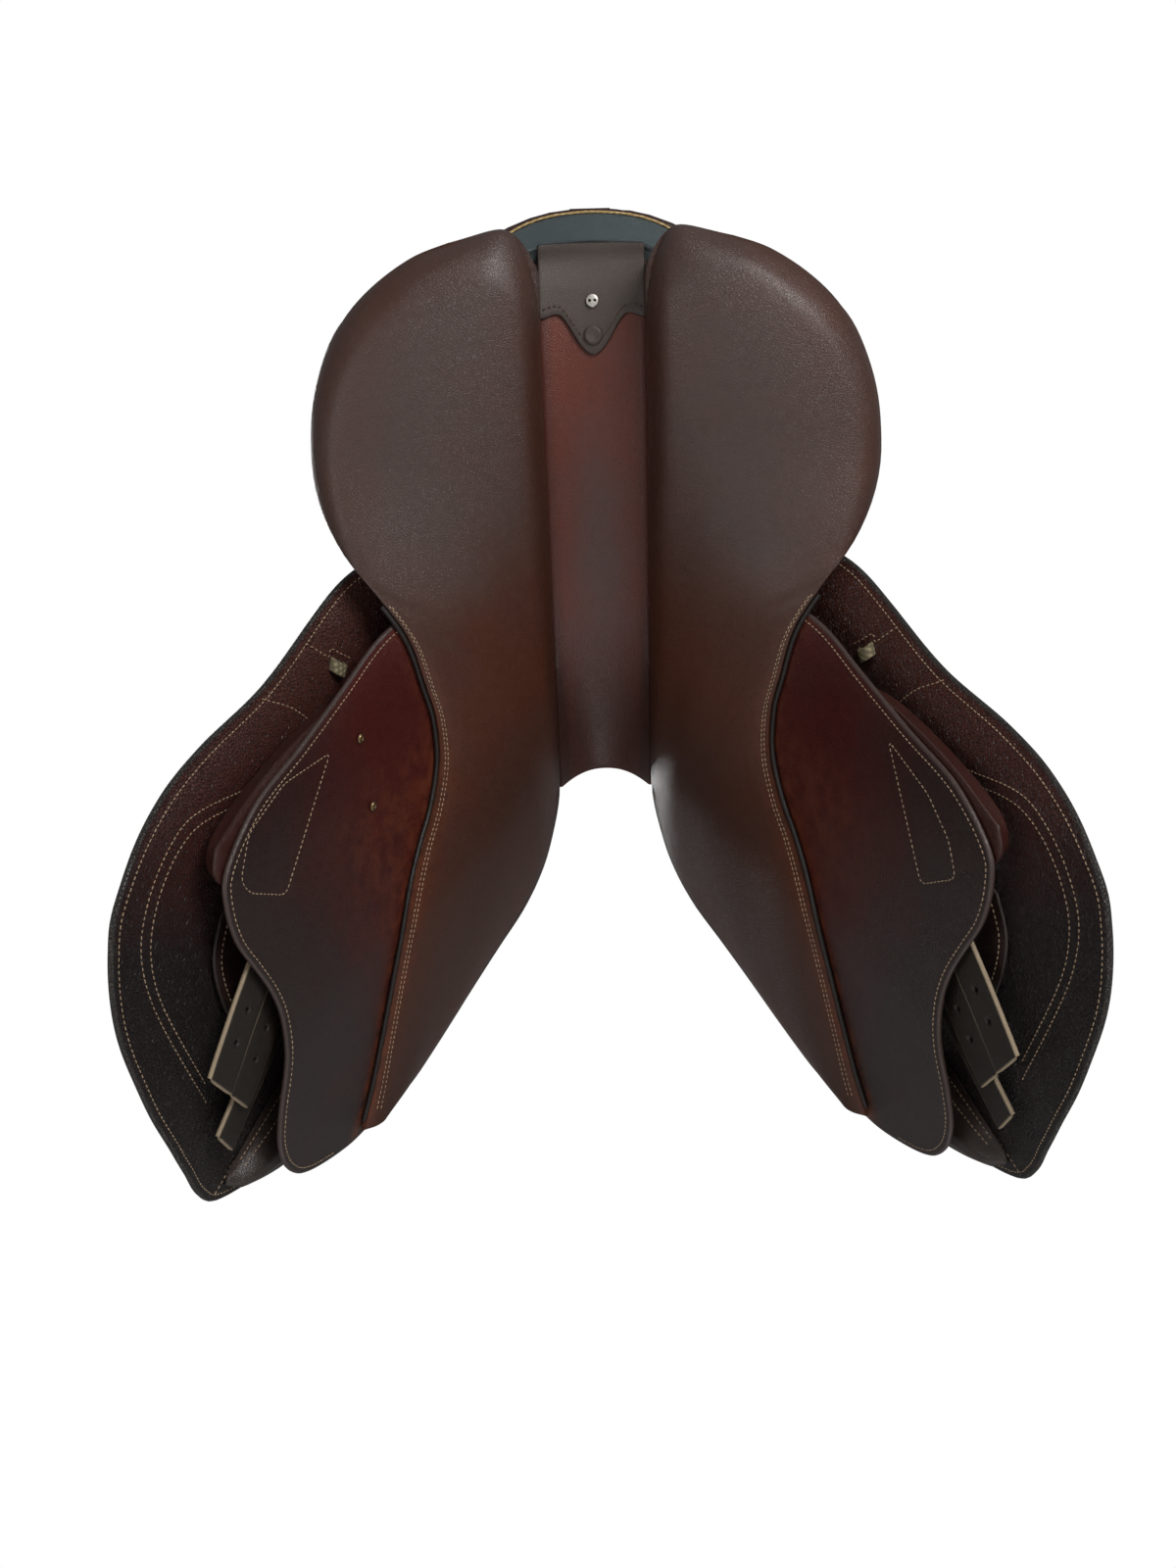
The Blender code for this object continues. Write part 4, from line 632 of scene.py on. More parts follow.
def settle(name, points, faces, finish, body, side=1, painted=None, sharp=50.0):
    """Object for a mesh, its faces turned outwards, that rides on a body."""
    mesh = bpy.data.meshes.new(name)
    mesh.from_pydata([(side * p[0], p[1], p[2]) for p in points], [], faces)
    shape = bmesh.new()
    shape.from_mesh(mesh)
    bmesh.ops.recalc_face_normals(shape, faces=shape.faces)
    shape.to_mesh(mesh)
    shape.free()
    dress(mesh, finish, sharp)
    for label, values in (painted or {}).items():
        mesh.attributes.new(label, "FLOAT", "POINT").data.foreach_set("value", values)
    made = show(name, mesh)
    if body:
        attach(made, body)
    return made


def body_between(name, under, over, finish, body, side=1, rims=3, edge=1.0, paint=None, plain_outside=False):
    """Closed body between two grids of points, its rim rounded in steps and burnished by edge.

    paint holds grids of 0 to 1 for worn, dark and tan: worn is rubbing and, on some pieces, a painted sheen;
    dark is painted shade on some pieces. The outer face can be left plain.
    """
    rows = len(under)
    columns = len(under[0])
    count = rows * columns
    points = [p for row in under + over for p in row]
    paints = {"edge": [0.0] * (2 * count)}
    for label in ("worn", "dark", "tan"):
        grid = (paint or {}).get(label)
        flat = [value for row in grid for value in row] if grid else [0.0] * count
        paints[label] = flat + ([0.0] * count if plain_outside else flat)
    cells = [i * columns + j for i in range(rows - 1) for j in range(columns - 1)]
    faces = [[a, a + columns, a + columns + 1, a + 1] for a in cells]
    faces += [[count + k for k in face[::-1]] for face in faces]
    rim = [(0, j) for j in range(columns)] + [(i, columns - 1) for i in range(1, rows)]
    rim += [(rows - 1, j) for j in range(columns - 2, -1, -1)] + [(i, 0) for i in range(rows - 2, 0, -1)]
    loops = [[i * columns + j for i, j in rim]]
    for turn in [math.pi * step / (rims + 1) for step in range(1, rims + 1)]:
        loops.append(list(range(len(points), len(points) + len(rim))))
        for k, (i, j) in enumerate(rim):
            low = under[i][j]
            half = (over[i][j] - low) / 2
            (i_before, j_before), (i_after, j_after) = rim[k - 1], rim[(k + 1) % len(rim)]
            out = (under[i_after][j_after] - under[i_before][j_before]).cross(half)
            out = out.normalized() if out.length > 1e-12 else Vector()
            if out.dot(low - under[min(max(i, 1), rows - 2)][min(max(j, 1), columns - 2)]) < 0.0:
                out = -out
            swell = out * min(half.length, RIM_SWELL) * math.sin(turn)
            points.append((low + over[i][j]) / 2 - half * math.cos(turn) + swell)
            for label in ("worn", "dark", "tan"):
                paints[label].append(paints[label][i * columns + j])
            paints["edge"].append(edge)
    loops.append([count + k for k in loops[0]])
    for low, high in zip(loops, loops[1:]):
        for k in range(len(rim)):
            m = (k + 1) % len(rim)
            faces.append([low[k], low[m], high[m], high[k]])
    return settle(name, points, faces, finish, body, side, paints)


def circle(middle, radius, first, second, sides):
    """Ring of points about a middle, in the plane of two directions."""
    turns = [2 * math.pi * k / sides for k in range(sides)]
    return [middle + radius * (math.cos(turn) * first + math.sin(turn) * second) for turn in turns]


def tube_faces(rings, sides, closed=False):
    """Faces of a tube of rings, capped at both ends unless it closes on itself."""
    faces = []
    for i in range(rings if closed else rings - 1):
        j = (i + 1) % rings
        for k in range(sides):
            m = (k + 1) % sides
            faces.append([i * sides + k, i * sides + m, j * sides + m, j * sides + k])
    if not closed:
        faces += [list(range(sides))[::-1], list(range((rings - 1) * sides, rings * sides))]
    return faces


def round_cord(name, path, radius, sides, finish, body, side=1, closed=False):
    """Round cord along a path of points."""
    path = [Vector((side * p[0], p[1], p[2])) for p in path]
    count = len(path)
    points = []
    normal = Vector((0.31, 0.22, 0.93))
    for i, p in enumerate(path):
        ahead = path[(i + 1) % count] if closed else path[min(i + 1, count - 1)]
        behind = path[i - 1] if closed or i else path[0]
        direction = (ahead - behind).normalized()
        normal = (normal - direction * normal.dot(direction)).normalized()
        points += circle(p, radius, normal, direction.cross(normal), sides)
    return settle(name, points, tube_faces(count, sides, closed), finish, body)


def lathe(name, profile, centre, axis, sides, finish, body):
    """Round piece from a profile of (radius, height) about an axis."""
    axis = Vector(axis).normalized()
    first = axis.orthogonal().normalized()
    points = []
    rings = []
    for radius, height in profile:
        middle = Vector(centre) + axis * height
        ring = circle(middle, radius, first, axis.cross(first), sides) if radius else [middle]
        rings.append([len(points) + k for k in range(len(ring))])
        points += ring
    faces = []
    for low, high in zip(rings, rings[1:]):
        for k in range(sides):
            m = (k + 1) % sides
            ring = [low[k % len(low)], high[k % len(high)], high[m % len(high)], low[m % len(low)]]
            faces.append(list(dict.fromkeys(ring)))
    return settle(name, points, faces, finish, body, sharp=35.0)


def pins(name, spans, radius, finish, side=1):
    """Cutter of ten-sided pins, each given by its two ends and two directions across it."""
    points = []
    faces = []
    for start, end, first, second in spans:
        faces += [[len(points) + k for k in face] for face in tube_faces(2, 10)]
        points += circle(start, radius, first, second, 10) + circle(end, radius, first, second, 10)
    return settle(name, points, faces, finish, None, side)


def carved(made, cutter):
    """Take the cutter out of a mesh for good."""
    change = made.modifiers.new("cut", "BOOLEAN")
    change.operation = "DIFFERENCE"
    change.solver = "EXACT"
    change.material_mode = "TRANSFER"
    change.object = cutter
    bpy.context.view_layer.update()
    ready = made.evaluated_get(bpy.context.evaluated_depsgraph_get())
    mesh = bpy.data.meshes.new_from_object(ready)
    made.modifiers.clear()
    made.data = mesh
    bpy.data.objects.remove(cutter)


def bevelled(node, finish, body, width, segments=2):
    """Copy of a hard CAD piece, merged, with its edges rounded over."""
    shape = bmesh.new()
    shape.from_mesh(nodes[node].data)
    bmesh.ops.remove_doubles(shape, verts=shape.verts, dist=0.00002)
    bmesh.ops.dissolve_limit(shape, angle_limit=math.radians(2.0), verts=shape.verts, edges=shape.edges)
    sharp = [e for e in shape.edges if len(e.link_faces) == 2 and e.calc_face_angle(0.0) > math.radians(28.0)]
    bmesh.ops.bevel(shape, geom=sharp, offset=width, segments=segments, affect="EDGES", clamp_overlap=True)
    mesh = bpy.data.meshes.new(node + "_finished")
    shape.to_mesh(mesh)
    shape.free()
    dress(mesh, finish, 40.0)
    made = show(node + "_finished", mesh)
    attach(made, body)
    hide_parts(node)
    return made


seams = {}


def sew(body, line, side=1, finish=cream_thread):
    """Keep a line of stitches for a body. All lines of one body and thread are sewn together."""
    seams.setdefault((body, finish.name), []).append([(side * p[0], p[1], p[2]) for p in line])


def smooth(points, steps):
    """Curve through points, in equal steps."""
    return [along(points, k / steps) for k in range(steps + 1)]


def lifted(line, height):
    """Points of a (y, s) line on the bearing surface, at one height or by a rule for it."""
    rule = height if callable(height) else lambda y, s: height
    return [bearing(y, s, rule(y, s)) for y, s in line]


def raised(grid, height):
    """The same for a grid of (y, s)."""
    return [lifted(line, height) for line in grid]


def each(grid, rule):
    """Value of a rule at each (y, s) of a grid."""
    return [[rule(y, s) for y, s in row] for row in grid]


def both_halves(right):
    """Row from the right side to the left, mirrored at its last point."""
    return right + [Vector((-p.x, p.y, p.z)) for p in right[-2::-1]]


def flowing(rear, bottom, front, steps=40):
    """The three free edges of a flap, redrawn as one curve that turns its corners softly."""
    chain = rear + bottom[1:] + front[-2::-1]
    spans = [math.dist(a, b) for a, b in zip(chain, chain[1:])]
    first = sum(spans[:len(rear) - 1]) / sum(spans)
    last = sum(spans[:len(rear) + len(bottom) - 2]) / sum(spans)
    return ([along(chain, first * k / steps) for k in range(steps + 1)],
            [along(chain, first + (last - first) * k / steps) for k in range(steps + 1)],
            [along(chain, 1.0 + (last - 1.0) * k / steps) for k in range(steps + 1)])


def outline(top, bottom, rear, front, inside, shares=(0.0, 1.0), steps=60):
    """Line that runs inside a patch's edge, from its top rear corner round to its top front."""
    grid = patch(top, bottom, rear, front, steps, steps)
    loop = [row[0] for row in grid] + grid[steps][1:] + [row[steps] for row in grid[-2::-1]]
    middle = (sum(p[0] for p in loop) / len(loop), sum(p[1] for p in loop) / len(loop))
    line = []
    for before, (y, s), after in zip(loop, loop[1:], loop[2:]):
        run = (after[0] - before[0], after[1] - before[1])
        length = math.hypot(*run) or 1.0
        out = (run[1] / length, -run[0] / length)
        if out[0] * (y - middle[0]) + out[1] * (s - middle[1]) < 0.0:
            out = (-out[0], -out[1])
        line.append((y - out[0] * inside, s - out[1] * inside))
    return line[int(shares[0] * len(line)):int(shares[1] * len(line))]


def stitch_shape():
    """One stitch: a short thick thread along X that dips at both ends."""
    sides = 6
    profile = [(-0.5, 0.45), (-0.3, 0.95), (0.0, 1.05), (0.3, 0.95), (0.5, 0.45)]
    points = []
    for place, swell in profile:
        points += circle(X_AXIS * place * STITCH_LENGTH, swell * STITCH_RADIUS, Y_AXIS, Z_AXIS, sides)
    mesh = bpy.data.meshes.new("stitch")
    mesh.from_pydata(points, [], tube_faces(len(profile), sides))
    mesh.shade_smooth()
    return bpy.data.objects.new("stitch", mesh)


def stitch_tree(stitch, finish):
    """Stitches set end to end along the lines, at a pitch."""
    tree = bpy.data.node_groups.new("stitches " + finish.name, "GeometryNodeTree")
    tree.interface.new_socket("Lines", in_out="INPUT", socket_type="NodeSocketGeometry")
    pitch = tree.interface.new_socket("Pitch", in_out="INPUT", socket_type="NodeSocketFloat")
    seed = tree.interface.new_socket("Seed", in_out="INPUT", socket_type="NodeSocketInt")
    tree.interface.new_socket("Stitches", in_out="OUTPUT", socket_type="NodeSocketGeometry")
    given = add(tree, "NodeGroupInput")
    curve = add(tree, "GeometryNodeMeshToCurve", {}, {"Mesh": given.outputs["Lines"]})
    spaced = add(tree, "GeometryNodeResampleCurve", {"mode": "LENGTH"},
                 {"Curve": curve.outputs[0], "Length": given.outputs["Pitch"]})
    tangent = add(tree, "GeometryNodeInputTangent")
    turned_along = add(tree, "FunctionNodeAlignRotationToVector", {"axis": "X"},
                       {"Vector": tangent.outputs[0]})
    item = add(tree, "GeometryNodeObjectInfo", {}, {"Object": stitch})
    size = add(tree, "FunctionNodeRandomValue", {"data_type": "FLOAT"},
               {2: 0.9, 3: 1.06, "Seed": given.outputs["Seed"]})
    placed = add(tree, "GeometryNodeInstanceOnPoints", {},
                 {"Points": spaced.outputs[0], "Instance": item.outputs["Geometry"],
                  "Rotation": turned_along.outputs[0], "Scale": size.outputs[1]})
    real = add(tree, "GeometryNodeRealizeInstances", {}, {0: placed.outputs[0]})
    dressed = add(tree, "GeometryNodeSetMaterial", {}, {"Geometry": real.outputs[0], "Material": finish})
    add(tree, "NodeGroupOutput", {}, {0: dressed.outputs[0]})
    return tree, pitch.identifier, seed.identifier


def sew_all(threads):
    """Turn each body's lines into stitches. Returns {(body, thread): object}."""
    stitch = stitch_shape()
    trees = {finish.name: stitch_tree(stitch, finish) for finish in threads}
    made = {}
    for (body, finish_name), lines in seams.items():
        points = []
        edges = []
        for line in lines:
            start = len(points)
            points.extend(line)
            edges.extend((k, k + 1) for k in range(start, len(points) - 1))
        mesh = bpy.data.meshes.new("seams")
        mesh.from_pydata(points, edges, [])
        guide = show("seams", mesh)
        tree, pitch, seed = trees[finish_name]
        change = guide.modifiers.new("stitches", "NODES")
        change.node_group = tree
        change[pitch] = STITCH_PITCH
        change[seed] = STITCH_SEED
        bpy.context.view_layer.update()
        ready = guide.evaluated_get(bpy.context.evaluated_depsgraph_get())
        final = bpy.data.meshes.new_from_object(ready)
        bpy.data.objects.remove(guide)
        label = "stitches_%s_%s" % (body, finish_name.split()[0])
        final.name = label
        made[(body, finish_name)] = show(label, final)
    bpy.data.objects.remove(stitch)
    return made


# Panel cover. Its rear end is cut back beside the gullet and outside, by shares of the length that
# fade over another share, and falls away outwards. Its top tucks in under the seat. The round
# underside meets the upright sides at a share of the panel's depth.
SHOULDER = 0.040
HEEL = 0.016
CORNER_FADE = 0.16
SLOPED_END = 0.0080
SLOPE_FADE = 0.20
ROUNDED_END = 0.05
TUCK_START = -0.170
TUCK_RUN = 0.060
WALL_SHARE = 0.28
PANEL_COLUMNS = [0.0, 0.01, 0.025, 0.045, 0.07, 0.10, 0.135, 0.17, 0.21, 0.26, 0.32, 0.39, 0.46, 0.53, 0.60,
                 0.67, 0.73, 0.79, 0.84, 0.88, 0.915, 0.945, 0.965, 0.98, 0.99, 1.0]
# Welt and double stitching: the share of the length where they start, the rows' distances from the edge
WELT_START = 0.40
PANEL_SEAMS = (0.0050, 0.0078)

# Stitching: corners of the shape on each sweat flap and rows inside the flap, in (y, s)
SWEAT_SHAPES = {-1: [(0.029, 0.223), (0.083, 0.306), (0.062, 0.333), (0.051, 0.336), (0.030, 0.315),
                     (0.022, 0.272)],
                1: [(0.026, 0.232), (0.093, 0.300), (0.071, 0.326), (0.053, 0.310), (0.037, 0.280)]}
FLAP_ROWS = [[(0.032, 0.268), (0.020, 0.333), (0.044, 0.386), (0.086, 0.411), (0.177, 0.415)],
             [(0.038, 0.274), (0.027, 0.332), (0.049, 0.380), (0.088, 0.4045), (0.165, 0.4085)],
             [(-0.013, 0.177), (-0.006, 0.1697), (-0.0001, 0.1636), (-0.0030, 0.1598), (0.0022, 0.1540),
              (0.0085, 0.1475)],
             [(-0.003, 0.230), (0.010, 0.212), (0.028, 0.198)],
             [(0.225, 0.338), (0.236, 0.372), (0.245, 0.404), (0.254, 0.432)]]
# Rows along the edges: distance from the edge, and the shares of it between which they run
SWEAT_ROW = (0.0026, (0.06, 0.70))
FLAP_ROW = (0.0030, (0.05, 0.88))
SKIRT_ROW = (0.0035, (0.04, 0.96))
GUARD_ROW = 0.005
TAB_ROW = 0.0025

# Blocks: thickness at their edges, and the depth of the seam's groove in the knee block
THIGH_EDGE = 0.003
KNEE_EDGE = 0.002
KNEE_GROOVE = 0.0009

# Holes punched in the girth straps: radius, pitch, first one from the tip, number
HOLE_RADIUS = 0.0021
HOLE_PITCH = 0.0254
FIRST_HOLE = 0.030
HOLES = 8

# Seat: its seams as a share of its half width, their two rows of stitches, their groove
SEAT_SEAM = 0.70
SEAM_ASIDE = 0.0030
SEAM_DEPTH = 0.0007
SEAM_WIDTH = 0.0016

# Cantle: the angle round the back, in degrees, at which its plate ends, how far the plate's two faces
# stand off the wall, and how far the wall lies inside the seat's edge
PLATE_END = 43.0
PLATE_OUT = 0.0011
PLATE_IN = 0.0002
WALL_INSET = 0.0005

# Rear tab: its front edge and tongue, how much wider and longer it is than the solid, how far back
# the button sits from the solid's, and the two round holes in the screw's head
TAB_FRONT = -0.176
TONGUE = 0.0255
TONGUE_HALF = 0.024
TAB_WIDER = 0.0012
TAB_LONGER = 0.0075
BUTTON_BACK = 0.004
SCREW_HOLE = 0.0010
SCREW_HOLE_X = 0.0018

# Heads, in shares of their radius and height
BUTTON_PROFILE = [(0.0, 0.0), (1.0, 0.0), (1.0, 0.35), (0.93, 0.75), (0.8, 1.0), (0.62, 1.0), (0.5, 0.8),
                  (0.0, 0.8)]
SCREW_PROFILE = [(1.0, 0.0), (1.0, 0.5), (0.88, 0.85), (0.6, 1.0), (0.0, 1.0)]
RIVET_PROFILE = [(0.0, 0.0), (1.0, 0.0), (0.97, 0.4), (0.8, 1.0), (0.5, 1.0), (0.38, 0.7), (0.34, 0.2),
                 (0.0, 0.2)]

# Keeper: its middle and its two directions in (y, s), and how much its loop bows
KEEPER_MIDDLE = Vector((0.0080, 0.1600))
KEEPER_RUN = Vector((0.694, -0.720))
KEEPER_ACROSS = Vector((0.720, 0.694))
KEEPER_BOW = 0.0015

# Studio: levels of the floor and of its finish, radii of the wall and the finish
FLOOR_Z = -1.45
FINISH_Z = -1.44
WALL_RADIUS = 9.0
FINISH_RADIUS = 8.9
# Disc lamps: name, place, diameter, watts. The sky is low, so that it doesn't veil the dark leather.
LAMPS = (("main light", (0.75, -1.35, -0.55), 1.0, 19.0),
         ("left light", (-1.2, -0.5, -1.1), 0.9, 4.0),
         ("front light", (0.2, 1.2, -1.0), 0.8, 2.0),
         ("top light", (-0.5, 0.9, 1.7), 1.2, 24.0))
LAMPS_AIM = Vector((0.0, 0.03, 0.0))
SKY = 0.18
# Camera: where it stands, its sight in (y, z), roll in degrees, lens in mm, shift
CAMERA_PLACE = Vector((0.0, -0.552, -1.024))
CAMERA_SIGHT = (0.5736, 0.8192)
CAMERA_ROLL = 1.6
CAMERA_LENS = 37.41
CAMERA_SHIFT = -0.01125


def panel_point(t, v):
    """(y, s), bearing face and upper face of the panel, t along it and v from the gullet's side."""
    from_end = min(1.0, t / ROUNDED_END)
    # the rear end falls away outwards, and both its corners are rounded off, the one beside the gullet more
    fall = SLOPED_END * (1.0 - ease(t / SLOPE_FADE)) * max(0.0, (v - 0.30) / 0.70) ** 2
    shoulder = SHOULDER * (1.0 - math.sqrt(1.0 - (1.0 - min(1.0, v / 0.45)) ** 2))
    heel = HEEL * max(0.0, (v - 0.40) / 0.60) ** 2
    t = t + (shoulder + heel) * (1.0 - ease(t / CORNER_FADE))
    inner = along(PANEL_INNER, t)
    outer = along(PANEL_OUTER, t)
    y = inner[0] + (outer[0] - inner[0]) * v + fall
    s = inner[1] + (outer[1] - inner[1]) * v
    depth = through(PANEL_DEPTH, y)
    wall = WALL_SHARE * depth
    if v < 0.5 and y < SEAT_FRONT:
        wall = max(wall, 0.008 * ease((SEAT_FRONT - y) / 0.03) - PANEL_SEAM)
    elif depth <= 0.0:
        wall = -PANEL_SEAM
    from_side = min(1.0, min(v, 1.0 - v) * math.dist(inner, outer) / PANEL_ROUND)
    inward = 1.0 - min(1.0, math.hypot(1.0 - from_side, 1.0 - from_end))
    rounded = math.sqrt(1.0 - (1.0 - inward) ** 2)
    bulge = -PANEL_SEAM - through(PANEL_CROWN, t) * (1.0 - (2.0 * v - 1.0) ** 2) ** 0.8
    low = bearing(y, s, wall + (bulge - wall) * rounded + panel_ripple(t, v) * rounded)
    tuck = max(0.0, TUCK_START - y)
    drawn_in = tuck * tuck / (2 * TUCK_RUN) if tuck < TUCK_RUN else tuck - TUCK_RUN / 2
    back = y + (1.0 - PANEL_REAR_TUCK) * drawn_in
    top = bearing(back, s, panel_top(back, s, v) - GAP)
    top.z = min(top.z, deck(top.x, back) - PANEL_SHY)
    if v == 0.0:
        top.x = low.x
    return (y, s), low, top


def panel_top(y, s, v):
    """Height of the panel's upper face above the bearing surface."""
    gullet = deck(GULLET_HALF, y) - through(BEARING_HEIGHT, y)
    fade = gullet * (1.0 - ease(s / PANEL_TOP_FADE))
    stuffing = through(PANEL_DEPTH, y) * (1.0 - 0.55 * ease((v - 0.5) / 0.5))
    return max(fade, stuffing)


def panel_ripple(t, v):
    """Slack of the cover: faint hollows in the stuffing and creases that fan out at the waist."""
    soft = 0.0005 * math.sin(23.0 * t + 3.0 * v) * math.sin(9.0 * v + 5.0 * t)
    waist = math.exp(-((t - 0.40) / 0.07) ** 2) * ease((v - 0.35) / 0.5)
    creases = 0.0
    for place, width, depth in ((0.345, 0.006, 0.0010), (0.385, 0.005, 0.0013), (0.425, 0.006, 0.0009)):
        creases += depth * math.exp(-((t - place - 0.03 * (1.0 - v)) / width) ** 2)
    return soft + waist * creases


def panel_sheen_shade_and_tan(t, v, y):
    """How much painted sheen, painted shade and tan the panel's cover has."""
    centre = math.sin(math.pi * v)
    # painted sheen: the rear lobes greyed, most across their middle
    lobe_sheen = 1.0 - ease((y + 0.075) / 0.11)
    # painted shade: in the waist's creases, along both long edges (most beside the gullet) and towards the
    # front
    crease_shade = math.exp(-((t - 0.40) / 0.05) ** 2) * ease((v - 0.5) / 0.4)
    gutter_shade = 0.55 * (1.0 - ease(v / 0.10)) + 0.25 * (1.0 - ease((1.0 - v) / 0.05))
    shaded = min(1.0, 0.55 * ease((y - 0.06) / 0.10) * centre + 0.3 * crease_shade + gutter_shade)
    tanned = 0.6 * ease((v - 0.86) / 0.13) * ease((t - 0.42) / 0.08) * (0.5 + 0.5 * ease((t - 0.6) / 0.3))
    return 0.05 + 0.95 * lobe_sheen * (0.35 + 0.65 * centre ** 0.6), shaded, tanned


def cushion(side, tag):
    """Panel: a stuffed calf cushion, with its welt band and double stitching at the outer edge."""
    under = []
    over = []
    paint = {"worn": [], "dark": [], "tan": []}
    # rows crowd together at the rounded rear end
    rows = [0.06 * (i / 30) ** 1.3 for i in range(30)] + [0.06 + 0.94 * i / 100 for i in range(101)]
    for t in rows:
        spots = [panel_point(t, v) for v in PANEL_COLUMNS]
        under.append([low for _, low, _ in spots])
        over.append([top for _, _, top in spots])
        tones = [panel_sheen_shade_and_tan(t, v, y) for v, ((y, _), _, _) in zip(PANEL_COLUMNS, spots)]
        for label, line in zip(paint, zip(*tones)):
            paint[label].append(line)
    made = body_between("panel_cushion_" + tag, under, over, calf, "saddle", side, 0, 0.0, paint)
    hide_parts("panel_" + tag)
    for inside in PANEL_SEAMS:
        line = []
        for k in range(121):
            t = WELT_START + 0.575 * k / 120
            width = math.dist(along(PANEL_INNER, t), along(PANEL_OUTER, t))
            line.append(panel_point(t, 1.0 - inside * (0.7 + 0.5 * k / 120) / width)[1])
        sew("saddle", line, side)
    path = []
    offset = PIPING_RADIUS + GAP * 3
    for i in range(90):
        t = WELT_START + 0.59 * i / 89
        y, s = along(PANEL_OUTER, t)
        ahead = along(PANEL_OUTER, min(1.0, t + 0.01))
        run = Vector((ahead[0] - y, ahead[1] - s)).normalized()
        path.append(bearing(y - run.y * offset, s + run.x * offset, -PIPING_RADIUS - GAP))
    cord = round_cord("panel_welt_" + tag, path, PIPING_RADIUS * 1.2, 12, piping_hide, "saddle", side)
    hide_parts("panel_piping_" + tag)


def rounded_corners(corners, reach=0.006):
    """Closed line through corners, each rounded over its reach."""
    line = []
    for k, b in enumerate(corners):
        a = corners[k - 1]
        c = corners[(k + 1) % len(corners)]
        near = [b[m] + (a[m] - b[m]) * min(0.45, reach / math.dist(a, b)) for m in (0, 1)]
        far = [b[m] + (c[m] - b[m]) * min(0.45, reach / math.dist(b, c)) for m in (0, 1)]
        for u in (0.0, 0.25, 0.5, 0.75, 1.0):
            line.append([(1 - u) ** 2 * near[m] + 2 * u * (1 - u) * b[m] + u * u * far[m] for m in (0, 1)])
    return line + line[:1]


def sweat_sheet(side, tag):
    """Sweat flap: hide with a thick rolled edge, its closed shape of stitching and its edge row."""
    rear, bottom, front = flowing(SWEAT_REAR, SWEAT_BOTTOM, SWEAT_FRONT)
    grid = patch(SWEAT_TOP, bottom, rear, front, 56, 72)
    border = smooth(PANEL_OUTER, 120)

    def scuffs(y, s):
        off = min(math.dist((y, s), p) for p in border)
        scuffed = 0.32 * ease((y - 0.05) / 0.05) * (1.0 - ease((s - 0.19) / 0.10))
        return (0.35 + 0.5 * ease((s - 0.22) / 0.06)) * math.exp(-(off / 0.009) ** 2) + scuffed

    paint = {"worn": each(grid, lambda y, s: ease((s - 0.17) / 0.17)),
             "dark": each(grid, lambda y, s: 0.45 * ease((0.075 - y) / 0.05) * ease((s - 0.19) / 0.06)),
             "tan": each(grid, scuffs)}
    made = body_between("sweat_hide_" + tag, raised(grid, SWEAT_IN), raised(grid, SWEAT_OUT), hide_red,
                        "saddle", side, 4, 1.0, paint, True)
    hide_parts("sweat_flap_" + tag)
    edge_row = outline(SWEAT_TOP, bottom, rear, front, *SWEAT_ROW)
    for line in (rounded_corners(SWEAT_SHAPES[side]), edge_row):
        sew("saddle", lifted(line, SWEAT_IN - THREAD_LIFT), side)


def padded_face(grid, height):
    """Points of a (y, s) grid, at heights by a rule for the shares across and down it."""
    down = len(grid) - 1
    across = len(grid[0]) - 1
    return [[bearing(y, s, height(i / across, j / down)) for i, (y, s) in enumerate(row)]
            for j, row in enumerate(grid)]


def blocks(side, tag):
    """Thigh block on the sweat flap and knee block inside the flap: thin hide over shaped foam."""
    grid = patch(THIGH_TOP, THIGH_BOTTOM, THIGH_REAR, THIGH_FRONT, 20, 44)
    base = SWEAT_OUT + STRAP_GAP

    def thigh(u, v):
        rise = (1.0 - (2 * u - 1) ** 4) ** 0.5 * (1.0 - (2 * v - 1) ** 6) ** 0.5
        return base + THIGH_EDGE + (THIGH_BLOCK - THIGH_EDGE) * rise

    made = body_between("thigh_pad_" + tag, raised(grid, base), padded_face(grid, thigh), block_hide,
                        "saddle", side, 2, 0.3)
    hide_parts("thigh_block_" + tag)

    grid = patch(KNEE_TOP, KNEE_BOTTOM, KNEE_REAR, KNEE_FRONT, 22, 56)
    top = FLAP_IN - GAP

    def knee(u, v):
        rise = ease(u / 0.55) * (1.0 - 0.25 * ease((u - 0.75) / 0.25)) * (1.0 - (2 * v - 1) ** 8) ** 0.5
        # the seam's groove along the block's rear edge
        groove = KNEE_GROOVE * math.exp(-((u - 0.16) / 0.035) ** 2)
        return top - KNEE_EDGE - (KNEE_BLOCK - KNEE_EDGE) * rise + groove

    under = padded_face(grid, knee)
    paint = {"worn": each(grid, lambda y, s: 0.25 + 0.75 * ease((s - 0.20) / 0.15))}
    body = "flap_assembly_" + tag
    made = body_between("knee_pad_" + tag, under, raised(grid, top), block_hide, body, side, 2, 0.3, paint)
    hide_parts("knee_block_" + tag)
    for column in (2, 5):
        sew(body, [row[column] for row in under[3:54]], side)


def notch_cutter(tag, side):
    """Box that leaves the flap's top edge open round the stirrup bar."""
    bar = bearing_frame(BAR_Y, BAR_S, BAR_BASE, side)
    reach = [(-BAR_LENGTH / 2 - 0.022, BAR_LENGTH / 2 + 0.006), (-0.060, 0.017), (-0.012, 0.040)]
    corners = [(x, y, z) for x in reach[0] for y in reach[1] for z in reach[2]]
    faces = [(0, 1, 3, 2), (4, 6, 7, 5), (0, 4, 5, 1), (2, 3, 7, 6), (0, 2, 6, 4), (1, 5, 7, 3)]
    return settle("notch_" + tag, [bar @ Vector(c) for c in corners], faces, pebbled, None)


def bend(made, body, side):
    """Bake the flap's placement into its mesh. It is not bent: the points at its top and 80 mm further down
    are worked out but not used.
    """
    start, end = [bearing(0.07, s, 0.03) for s in (0.045, 0.125)]
    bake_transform(made)


